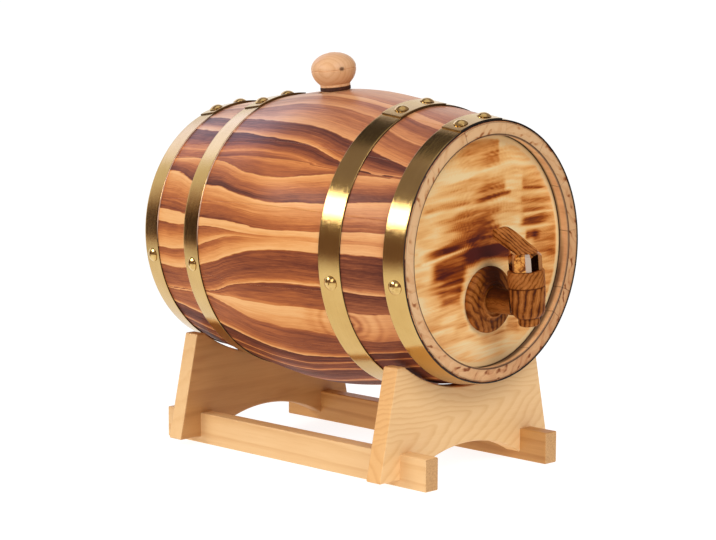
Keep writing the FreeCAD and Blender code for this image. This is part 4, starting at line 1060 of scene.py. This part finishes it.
def make_pine(name, along, stops, seed=0.0, ring=120.0, knot=False, dark=0.0, contrast=1.0):
    """Pale softwood sawn along one axis ('x', 'y' or 'z'): faint growth lines, fibres and pores."""
    t = Tree(name)
    co = t.coord()
    sq = {"x": (0.07, 1, 1), "y": (1, 0.07, 1), "z": (1, 1, 0.07)}[along]
    g = t.mapping(co, loc=(seed, seed * 0.7, seed * 1.3), scale=sq)
    x, y, z = t.xyz(co)
    warp = t.mul(t.sub(t.noise(g, 22.0, 3.0, 0.55), 0.5), 2.6)
    across = {"x": t.add(z, t.mul(y, 0.35)), "y": t.add(z, t.mul(x, 0.6)), "z": t.add(x, t.mul(y, 0.5))}[along]
    p = t.add(t.mul(across, ring), warp)
    f = t.math("FRACT", p)
    line, _ = t.ramp(f, [(0.0, (0, 0, 0)), (0.55, (.18, .18, .18)), (0.88, (1, 1, 1)), (0.96, (.5, .5, .5)), (1.0, (0, 0, 0))])
    line = t.xyz(line)[0]
    fib = t.noise(t.mapping(co, scale=tuple(0.03 if s != 1 else 1 for s in sq)), 1500.0, 4.0, 0.7)
    fib2 = t.noise(t.mapping(co, scale=tuple(0.05 if s != 1 else 1 for s in sq)), 380.0, 4.0, 0.6)
    cloud = t.noise(t.mapping(co, loc=(seed, 0, seed), scale=tuple(0.35 if s != 1 else 1 for s in sq)), 24.0, 3.0, 0.55)
    tone = t.add(t.mul(line, 0.24 * contrast), t.mul(t.sub(fib, 0.5), 0.26))
    tone = t.add(tone, t.mul(t.sub(fib2, 0.5), 0.36 * contrast))
    tone = t.add(tone, t.mul(t.sub(cloud, 0.5), 0.5))
    tone = clamp01(t, t.add(tone, 0.28 + dark))
    col, _ = t.ramp(tone, stops)
    n = t.bump(t.add(t.mul(fib, 0.5), t.mul(line, 0.4)), 0.18, 0.0005)
    return t, col, tone, n, co


PINE = [(0.0, lin(241, 203, 148)), (0.35, lin(231, 187, 129)), (0.65, lin(216, 165, 105)), (1.0, lin(186, 129, 74))]
# browner pine, darkened further with painted shade
BROWN_SHADED_PINE = [(0.0, lin(200, 150, 92)), (0.35, lin(182, 130, 76)), (0.65, lin(160, 106, 57)), (1.0, lin(128, 78, 40))]
# more orange pine, darkened with painted shade
ORANGE_SHADED_PINE = [(0.0, lin(212, 162, 98)), (0.35, lin(196, 142, 80)), (0.65, lin(174, 117, 60)), (1.0, lin(144, 90, 44))]


def make_board_front():
    """Flat-sawn board: nested tongues of growth lines that point to the right."""
    t = Tree("pine_front_board")
    co = t.coord()
    x, y, z = t.xyz(co)
    n1 = t.noise(t.mapping(co, scale=(0.5, 1, 1)), 30.0, 3.0, 0.5)
    n2 = t.noise(t.mapping(co, loc=(3, 1, 2), scale=(0.3, 1, 1)), 70.0, 3.0, 0.5)
    # axis of the tongues, rising slightly to the right
    w = t.sub(z, t.add(0.0415, t.mul(x, 0.16)))
    w = t.add(w, t.mul(t.sub(n1, 0.5), 0.020))
    up = t.math("MAXIMUM", w, 0.0)
    dn = t.math("MAXIMUM", t.mul(w, -1.0), 0.0)
    bend = t.add(t.mul(up, 4.6), t.mul(dn, 1.9))
    bend = t.math("SQRT", t.add(t.mul(bend, bend), 0.00004))
    s = t.add(t.add(x, bend), t.mul(t.add(y, 0.0), 1.5))
    s = t.add(s, t.mul(t.sub(n2, 0.5), 0.012))
    p = t.mul(s, 58.0)
    f = t.math("FRACT", p)
    line, _ = t.ramp(f, [(0.0, (0, 0, 0)), (0.45, (.10, .10, .10)), (0.82, (1, 1, 1)), (0.95, (.6, .6, .6)), (1.0, (0, 0, 0))])
    line = t.xyz(line)[0]
    fib = t.noise(t.mapping(co, scale=(0.03, 1, 1)), 1500.0, 4.0, 0.7)
    fib2 = t.noise(t.mapping(co, scale=(0.06, 1, 1)), 300.0, 4.0, 0.6)
    cloud = t.noise(t.mapping(co, scale=(0.5, 1, 1)), 22.0, 2.0, 0.5)
    tone = t.add(t.mul(line, 0.26), t.mul(t.sub(fib, 0.5), 0.26))
    tone = t.add(tone, t.mul(t.sub(fib2, 0.5), 0.18))
    tone = clamp01(t, t.add(t.add(tone, t.mul(t.sub(cloud, 0.5), 0.3)), t.range(x, -0.06, 0.08, 0.20, 0.08)))
    col, _ = t.ramp(tone, PINE)
    # end grain and arrises are a warmer yellow
    nrm = t.node("ShaderNodeTexCoord").outputs["Normal"]
    ny = t.math("ABSOLUTE", t.xyz(nrm)[1])
    col = t.mixc(t.range(ny, 0.9, 0.5, 0, 1, smooth=True), col, lin(250, 236, 214), "MULTIPLY")
    n = t.bump(t.add(t.mul(fib, 0.5), t.mul(line, 0.4)), 0.18, 0.0005)
    return t.surface(col, 0.5, n, spec=0.35)


def make_board_rear():
    # the rear board: browner wood with painted shade from the cask
    t, col, tone, n, co = make_pine("pine_rear_board", "x", BROWN_SHADED_PINE, seed=4.2, ring=60.0, contrast=0.55)
    x, y, z = t.xyz(co)
    band = t.noise(t.mapping(co, loc=(1.0, 0, 2.6), scale=(0.16, 0.2, 1)), 62.0, 3.0, 0.6)
    col = t.mixc(t.mul(t.range(band, 0.50, 0.72, 0, 1, smooth=True), 0.5), col, lin(150, 92, 50))
    # the board's faces are browner wood darkened with painted shade, and its sawn edges keep the pale colour
    nx = t.math("ABSOLUTE", t.xyz(t.node("ShaderNodeTexCoord").outputs["Normal"])[0])
    pale, _ = t.ramp(tone, PINE)
    col = t.mixc(t.range(nx, 0.5, 0.9, 0, 1, smooth=True), col, pale)
    return t.surface(col, 0.5, n, spec=0.35)


def make_rail(name, stops, seed):
    t, col, tone, n, co = make_pine(name, "y", stops, seed=seed, ring=95.0)
    # end grain drinks the finish and turns darker
    ny = t.math("ABSOLUTE", t.xyz(t.node("ShaderNodeTexCoord").outputs["Normal"])[1])
    x, y, z = t.xyz(co)
    arcs = t.math("SINE", t.mul(t.math("SQRT", t.add(t.mul(x, x), t.mul(t.add(z, 0.03), t.add(z, 0.03)))), 5200.0))
    end, _ = t.ramp(t.add(t.mul(arcs, 0.12), t.noise(co, 900.0, 3.0, 0.6)), [(0.3, lin(212, 168, 112)), (0.8, lin(176, 126, 74))])
    col = t.mixc(t.range(ny, 0.6, 0.9, 0, 1, smooth=True), col, end)
    return t.surface(col, 0.5, n, spec=0.35)


dress(["saddle_front"], make_board_front())
dress(["saddle_rear"], make_board_rear())
dress(["rail_left"], make_rail("pine_rail_left", PINE, 9.1))
# the far rail is more orange wood, darkened with painted shade from the cask
dress(["rail_right"], make_rail("pine_rail_right", ORANGE_SHADED_PINE, 5.3))


def make_bung():
    t = Tree("turned_pale_wood")
    co = t.coord()
    x, y, z = t.xyz(co)
    # grain runs along the bung's axis
    g = t.mapping(co, rot=(0, math.radians(7), 0), scale=(1, 1, 0.10))
    warp = t.mul(t.sub(t.noise(g, 60.0, 3.0, 0.55), 0.5), 1.6)
    p = t.add(t.mul(t.add(x, t.mul(y, 0.4)), 330.0), warp)
    f = t.math("FRACT", p)
    line, _ = t.ramp(f, [(0.0, (0, 0, 0)), (0.5, (.15, .15, .15)), (0.85, (1, 1, 1)), (1.0, (0, 0, 0))])
    line = t.xyz(line)[0]
    fib = t.noise(t.mapping(co, rot=(0, math.radians(7), 0), scale=(1, 1, 0.05)), 1700.0, 4.0, 0.7)
    cloud = t.noise(co, 70.0, 3.0, 0.6)
    tone = t.add(t.mul(line, 0.20), t.mul(t.sub(fib, 0.5), 0.40))
    tone = clamp01(t, t.add(t.add(tone, t.mul(t.sub(cloud, 0.5), 0.5)), 0.30))
    col, _ = t.ramp(tone, [(0, oiled(248, 206, 162)), (0.4, oiled(234, 184, 136)), (0.7, oiled(212, 154, 104)), (1, oiled(172, 112, 68))])
    # small knot on the turned line, towards the tap
    dx, dy, dz = (t.sub(v, c) for v, c in zip((x, y, z), KNOT))
    d = t.math("SQRT", t.add(t.add(t.mul(dx, dx), t.mul(dy, dy)), t.mul(t.mul(dz, dz), 1.6)))
    d = t.add(d, t.mul(t.sub(t.noise(co, 900.0, 3.0, 0.6), 0.5), 0.0010))
    col = t.mixc(t.range(d, 0.0026, 0.0008, 0, 0.85, smooth=True), col, lin(84, 48, 26))
    n = t.bump(t.add(t.mul(fib, 0.6), t.mul(line, 0.3)), 0.2, 0.0005)
    return t.surface(col, 0.42, n, spec=0.45)


KNOT = (-0.0212, 0.0155, 0.2763)
dress(["bung"], make_bung())


def make_rubber():
    t = Tree("dark_seal")
    co = t.coord()
    a = t.noise(co, 420.0, 4.0, 0.65)
    col, _ = t.ramp(a, [(0.3, lin(46, 22, 12)), (0.7, lin(76, 40, 24))])
    return t.surface(col, 0.6, t.bump(a, 0.4, 0.0006), spec=0.3)


MAT_RUBBER = make_rubber()
dress(["bung_seal", "tap_washer_outer", "key_orings"], MAT_RUBBER)


TAP_X_AXIS = (0.992546, 0.0, 0.121869)
TAP_Z_AXIS = (-0.121869, 0.0, 0.992546)


def tap_space(t):
    """Millimetres from the middle of the valve, along the tap's own axes."""
    co = t.coord()

    def dot(v, off):
        n = t.node("ShaderNodeVectorMath", operation="DOT_PRODUCT")
        t.set(n.inputs[0], co)
        n.inputs[1].default_value = tuple(c * 1000 for c in v)
        return t.add(n.outputs["Value"], off)
    return co, dot(TAP_X_AXIS, -17.4731), dot((0, 1, 0), 138.25), dot(TAP_Z_AXIS, -120.9727)


def hill(t, v, mid, half):
    """One at mid, falling off smoothly on both sides."""
    d = t.div(t.sub(v, mid), half)
    return t.math("EXPONENT", t.mul(t.mul(d, d), -1.0))


TAP_LINE = [(0.0, (1, 1, 1)), (0.10, (.70, .70, .70)), (0.24, (.20, .20, .20)), (0.5, (0, 0, 0)), (0.72, (.14, .14, .14)),
            (0.89, (.66, .66, .66)), (1.0, (1, 1, 1))]


def make_tap_wood(name, kind):
    """Oiled dark wood with narrow dark growth lines, laid differently on each piece of the tap."""
    t = Tree(name)
    co, bx, by, bz = tap_space(t)
    p3 = t.vec(bx, by, bz)
    w1 = t.sub(t.noise(p3, 0.085, 2.0, 0.5), 0.5)
    w2 = t.sub(t.noise(t.mapping(p3, loc=(31, 7, 13)), 0.22, 3.0, 0.6), 0.5)
    fleck = t.noise(p3, 1.6, 4.0, 0.7)
    broad = t.noise(t.mapping(p3, loc=(3, 17, 5)), 0.13, 3.0, 0.6)
    extra, base, strength = 0.0, 0.26, 0.62
    if kind in ("barrel", "spout"):
        ang = t.math("ARCTAN2", t.mul(by, -1.0), t.mul(bx, -1.0))
        arc = t.mul(ang, 12.6)
        low = t.div(t.sub(t.sub(arc, t.mul(t.sub(bz, 12.0), 0.22)), 3.0), 5.6549)
        low = t.add(low, t.add(t.mul(w1, 0.9), t.mul(w2, 0.22)))
        up = t.div(t.sub(arc, t.mul(bz, 0.95)), 3.7699)
        up = t.add(up, t.add(t.mul(w1, 1.6), t.mul(w2, 0.5)))
        upper = t.range(bz, 12.6, 13.2, 0, 1)
        ph = t.mix(upper, low, up)
        fine = t.math("FRACT", t.add(t.mul(ph, 3.0), w2))
        strength = t.mul(t.mix(upper, 0.74, 0.36), t.range(broad, 0.32, 0.60, 0.30, 1.15))
        base = t.mix(upper, 0.24, 0.20)
        extra = t.add(t.mul(hill(t, bz, 12.9, 0.5), 0.35), t.mul(hill(t, bz, -8.2, 0.7), 0.40))
        fib = t.noise(t.vec(bx, by, t.mul(bz, 0.10)), 1.9, 4.0, 0.7)
    elif kind == "flange":
        r = t.math("SQRT", t.add(t.mul(bx, bx), t.mul(bz, bz)))
        dx, dz = t.add(bx, 61.0), t.add(bz, 33.0)
        d = t.math("SQRT", t.add(t.mul(dx, dx), t.mul(dz, dz)))
        ph = t.add(t.div(d, 4.4), t.add(t.mul(w1, 1.5), t.mul(w2, 0.35)))
        fine = t.math("FRACT", t.add(t.mul(ph, 2.6), w2))
        hub = t.range(r, 14.5, 12.0, 0, 1, smooth=True)
        strength = t.mul(t.mix(hub, 0.56, 0.12), t.range(broad, 0.3, 0.62, 0.35, 1.1))
        # paler inside the bowl of the hub: painted light against its shade
        bowl_fill_light = t.range(r, 12.0, 10.6, 0, 1, smooth=True)
        base = t.mix(bowl_fill_light, t.mix(hub, 0.28, 0.38), 0.12)
        # painted shadow at the top and inside the hub's upper half, and painted shade in the groove round it
        top = t.mul(t.mul(hill(t, bx, 3.5, 11.0), hill(t, bz, 18.5, 7.0)), 0.75)
        inner = t.mul(t.mul(hub, hill(t, bz, 9.5, 5.5)), 0.45)
        groove_shade = t.mul(hill(t, r, 14.8, 1.0), 0.30)
        extra = t.add(t.add(top, inner), groove_shade)
        # a painted highlight on the lower rim of the hub
        rim_highlight = t.mul(hill(t, r, 11.9, 0.8), t.range(bz, 4.0, -4.0, 0, 1, smooth=True))
        extra = t.sub(extra, t.mul(rim_highlight, 0.16))
        fib = t.noise(t.vec(t.mul(d, 1.0), by, t.mul(bz, 0.12)), 1.5, 4.0, 0.7)
    elif kind == "neck":
        ph = t.add(t.div(bz, 4.2), t.add(t.mul(w1, 1.4), t.mul(w2, 0.8)))
        fine = t.math("FRACT", t.add(t.mul(ph, 2.6), w2))
        strength = 0.10
        base = 0.36
        # painted shade on the top of the neck and towards the flange
        extra = t.add(t.mul(t.range(bz, 0.0, 6.5, 0, 1, smooth=True), 0.45), t.mul(t.range(by, 16.0, 27.0, 0, 1, smooth=True), 0.12))
        fib = t.noise(t.vec(bx, t.mul(by, 0.1), bz), 1.9, 4.0, 0.7)
    else:
        n = t.sub(t.mul(bz, 0.839), t.mul(by, 0.545))
        ph = t.add(t.div(n, 3.2), t.add(t.mul(bx, 0.31), t.add(t.mul(w1, 1.3), t.mul(w2, 0.35))))
        fine = t.math("FRACT", t.add(t.mul(ph, 2.0), w2))
        strength = t.mul(0.66, t.range(broad, 0.34, 0.58, 0.30, 1.1))
        base = 0.13
        fib = t.noise(t.vec(bx, t.mul(t.add(t.mul(by, 0.839), t.mul(bz, 0.545)), 0.1), n), 1.9, 4.0, 0.7)
    line = t.xyz(t.ramp(t.math("FRACT", ph), TAP_LINE)[0])[0]
    thin = t.xyz(t.ramp(fine, TAP_LINE)[0])[0]
    tone = t.add(t.mul(line, strength), t.mul(thin, 0.10))
    tone = t.add(tone, t.mul(t.sub(fib, 0.5), 0.40))
    tone = t.add(tone, t.mul(t.sub(fleck, 0.5), 0.22))
    tone = t.add(tone, t.mul(t.sub(broad, 0.5), 0.55))
    tone = clamp01(t, t.add(t.add(tone, base), extra))
    col, _ = t.ramp(tone, [(0, oiled(206, 138, 80, .02)), (0.28, oiled(172, 108, 60, .02)), (0.6, oiled(126, 72, 38, .015)),
                           (0.82, oiled(96, 50, 24, .006)), (1.0, oiled(74, 35, 14, .002))])
    n = t.bump(t.add(t.mul(fib, 0.6), t.mul(line, -0.4)), 0.25, 0.0005)
    return t.surface(col, t.add(0.50, t.mul(fib, 0.10)), n, spec=0.08)


for part in ("flange", "neck", "barrel", "spout", "lever"):
    dress(["tap_" + part], make_tap_wood("tap_wood_" + part, part))


def make_polished():
    """Polished metal: warm with dark swirls on most of each flat, paler along one edge of it; the swirls and the pale
    strip are painted reflections.
    """
    t = Tree("polished_collar")
    co, bx, by, bz = tap_space(t)
    p3 = t.vec(bx, by, bz)
    swirl = t.noise(t.mapping(p3, scale=(1, 1, 0.8)), 0.20, 3.0, 0.55, dist=1.6)
    fine = t.noise(p3, 1.2, 3.0, 0.6)
    deg = t.mul(t.math("ARCTAN2", by, bx), 57.29578)
    q = t.math("FRACT", t.add(t.div(deg, 60.0), 6.0))
    q = t.add(q, t.mul(t.sub(fine, 0.5), 0.05))
    # painted reflection: a pale strip along the last part of each flat, whitest on one of them
    glare_band = t.range(q, 0.64, 0.72, 0, 1, smooth=True)
    pale = t.range(deg, -119.5, -120.5, 0, 1)
    col, _ = t.ramp(t.add(swirl, t.mul(t.sub(fine, 0.5), 0.25)),
                    [(0.30, lin(78, 40, 18)), (0.40, lin(124, 68, 30)), (0.49, lin(184, 116, 54)), (0.64, lin(214, 152, 78)), (0.76, lin(150, 88, 40))])
    col = t.mixc(glare_band, col, t.mixc(pale, t.mixc(swirl, lin(214, 150, 92), lin(150, 92, 52)), lin(184, 164, 146)))
    mat = t.surface(col, t.add(0.07, t.mul(fine, 0.06)), t.bump(swirl, 0.10, 0.0006), metallic=1.0)
    t.set(t.bsdf.inputs["Metallic"], t.sub(1.0, t.mul(glare_band, t.mix(pale, 0.80, 0.65))))
    return mat


def make_plain_metal(name, light, darkc, rough):
    t = Tree(name)
    co = t.coord()
    a = t.noise(co, 400.0, 4.0, 0.6)
    col, _ = t.ramp(a, [(0.3, darkc), (0.7, light)])
    return t.surface(col, t.add(rough, t.mul(a, 0.12)), t.bump(a, 0.15, 0.0003), metallic=1.0)


dress(["tap_collar"], make_polished())
dress(["tap_valve", "tap_gland", "tap_key", "tap_shank"], make_plain_metal("tap_steel", lin(206, 204, 200), lin(176, 172, 166), 0.22))
dress(["tap_nut", "tap_washer_inner"], make_plain_metal("nut_brass", lin(206, 172, 108), lin(170, 134, 76), 0.28))
dress(["stand_screws"], make_plain_metal("screw_zinc", lin(196, 192, 184), lin(150, 146, 138), 0.32))
MAT_RIVET = make_rivet()
dress(["rivets_hoop_1", "rivets_hoop_2", "rivets_hoop_3", "rivets_hoop_4"], MAT_RIVET)

# ---------------------------------------------------------------- camera
cam_data = bpy.data.cameras.new("camera")
cam = bpy.data.objects.new("camera", cam_data)
scene.collection.objects.link(cam)
cam_data.sensor_fit = "HORIZONTAL"
cam_data.sensor_width = 36.0
cam_data.lens = 109.10
cam_data.clip_start, cam_data.clip_end = 0.05, 50.0
Rv = Vector((0.70062218, -0.7135211, 0.00402506))
Uv = Vector((0.08919654, 0.09317805, 0.99164602))
Fv = Vector((0.70793541, 0.69441017, -0.12892622))
m = Matrix((Rv, Uv, -Fv)).transposed().to_4x4()
m.translation = Vector((-1.10831, -1.06759, 0.33299))
cam.matrix_world = m
scene.camera = cam

# ---------------------------------------------------------------- floor and light
def studio():
    """White behind the cask and below, dim overhead and to the left, so that the brass shows light and dark bands."""
    w = bpy.data.worlds.new("studio")
    scene.world = w
    w.use_nodes = True
    nt = w.node_tree
    for n in list(nt.nodes):
        nt.nodes.remove(n)
    t = Tree.__new__(Tree)
    t.nt = nt
    out = nt.nodes.new("ShaderNodeOutputWorld")
    d = nt.nodes.new("ShaderNodeTexCoord").outputs["Generated"]
    x, y, z = t.xyz(d)
    behind = t.add(t.mul(x, 0.50), t.mul(y, 0.866))
    a = t.range(behind, 0.60, 0.69, 0, 1, smooth=True)
    low = t.range(z, 0.60, 0.44, 0, 1, smooth=True)
    back = t.mul(a, low)
    top = t.range(z, 0.10, 0.75, 0, 1, smooth=True)
    level = t.mix(a, t.mix(top, SIDE_LEVEL, TOP_LEVEL), t.range(behind, 0.66, 0.74, 0.64, 1.05))
    level = t.mix(back, level, BACK_LEVEL)
    # beyond the rear of the cask: bright above, nearly black at the horizon
    far = t.mul(t.range(y, 0.76, 0.84, 0, 1, smooth=True), t.range(z, 0.16, 0.42, 0, 1, smooth=True))
    level = t.mix(far, level, 0.95)
    dusk = t.mul(t.range(y, 0.76, 0.84, 0, 1, smooth=True), t.range(x, -0.22, -0.36, 0, 1, smooth=True))
    level = t.mix(t.mul(dusk, t.range(z, 0.20, 0.06, 0, 1, smooth=True)), level, 0.05)
    # below the horizon the table goes on, except to the front right
    away = t.range(t.sub(t.mul(x, 0.62), t.mul(y, 0.785)), 0.62, 0.74, 0, 1, smooth=True)
    under = t.mul(t.range(z, -0.13, -0.22, 0, 1, smooth=True), t.sub(1.0, away))
    level = t.mix(under, level, 0.89)
    # nearly black low down at the front right, and a soft light straight overhead
    level = t.mix(t.mul(away, t.range(z, 0.22, 0.08, 0, 1, smooth=True)), level, 0.012)
    level = t.mix(t.range(z, 0.86, 0.92, 0, 1, smooth=True), level, 0.8)
    # a dark gap beside it, high up behind the cask
    gap = t.mul(t.mul(t.range(x, -0.22, -0.06, 0, 1, smooth=True), t.range(x, 0.38, 0.30, 0, 1, smooth=True)),
                t.mul(t.range(y, 0.38, 0.46, 0, 1, smooth=True), t.range(y, 0.66, 0.60, 0, 1, smooth=True)))
    level = t.mix(t.mul(gap, t.range(z, 0.70, 0.77, 0, 1, smooth=True)), level, 0.05)
    glow = t.mul(t.mul(t.range(y, 0.72, 0.80, 0, 1, smooth=True), t.range(z, 0.36, 0.46, 0, 1, smooth=True)),
                 t.mul(t.range(z, 0.62, 0.54, 0, 1, smooth=True), t.range(x, -0.22, -0.08, 0, 1, smooth=True)))
    level = t.mix(glow, level, 1.75)
    bg = nt.nodes.new("ShaderNodeBackground")
    bright = t.range(level, 0.56, 0.9, 0, 1, smooth=True)
    tint, _ = t.ramp(z, [(0.15, (1, 0.60, 0.47)), (0.45, (1, 0.80, 0.78)), (0.75, (1, 0.86, 0.94))])
    cool = t.mul(a, t.range(z, 0.46, 0.58, 0, 1, smooth=True))
    clear = t.mixc(cool, (1, 0.985, 0.96, 1), (0.94, 0.98, 1.25, 1))
    nt.links.new(t.mixc(glow, t.mixc(bright, tint, clear), (0.86, 0.94, 1.45, 1)), bg.inputs["Color"])
    nt.links.new(level, bg.inputs["Strength"])
    white = nt.nodes.new("ShaderNodeBackground")
    white.inputs["Color"].default_value = (1, 1, 1, 1)
    white.inputs["Strength"].default_value = 1.05
    lp = nt.nodes.new("ShaderNodeLightPath")
    mx = nt.nodes.new("ShaderNodeMixShader")
    nt.links.new(lp.outputs["Is Camera Ray"], mx.inputs[0])
    nt.links.new(bg.outputs[0], mx.inputs[1])
    nt.links.new(white.outputs[0], mx.inputs[2])
    nt.links.new(mx.outputs[0], out.inputs[0])


SIDE_LEVEL, TOP_LEVEL, BACK_LEVEL = 0.21, 0.32, 1.05
studio()
scene.view_settings.view_transform = "Standard"
scene.view_settings.look = "None"


def area(name, loc, target, size, size_y, power, color=(1, 1, 1)):
    d = bpy.data.lights.new(name, "AREA")
    d.shape = "RECTANGLE"
    d.size, d.size_y = size, size_y
    d.energy = power
    d.color = color
    o = bpy.data.objects.new(name, d)
    scene.collection.objects.link(o)
    o.location = loc
    o.rotation_mode = "QUATERNION"
    o.rotation_quaternion = (Vector(target) - Vector(loc)).to_track_quat("-Z", "Y")
    return o


MID = Vector((0, 0, 0.14))
area("softbox_left", MID + Vector((-0.778, 0.441, 0.434)) * 1.4, MID, 0.62, 0.29, 6.6)
area("key_front", MID + Vector((-0.30, -1.0, 0.85)) * 1.6, MID, 1.1, 1.1, 23)
area("fill_left", MID + Vector((-1.25, -0.45, 0.35)) * 1.5, MID, 0.9, 0.9, 6)


def make_floor():
    t = Tree("pale_floor")
    t.surface(lin(150, 150, 150), 0.9, spec=0.1)
    b = t.bsdf.inputs
    b["Emission Color"].default_value = (1, 1, 1, 1)
    b["Emission Strength"].default_value = 0.86
    # round plate
    rs = [0.0, 0.15, 0.3, 0.45, 0.58]
    n = 96
    v = [(0, 0, 0)]
    f = []
    for r in rs[1:]:
        v += [(r * math.cos(2 * math.pi * j / n), r * math.sin(2 * math.pi * j / n), 0) for j in range(n)]
    for j in range(n):
        f.append((0, 1 + j, 1 + (j + 1) % n))
        for k in range(len(rs) - 2):
            a, b2 = 1 + k * n, 1 + (k + 1) * n
            f.append((a + j, b2 + j, b2 + (j + 1) % n, a + (j + 1) % n))
    ob = new_object("floor", v, f, (t.mat,))
    ob.location.z = -0.0002


make_floor()
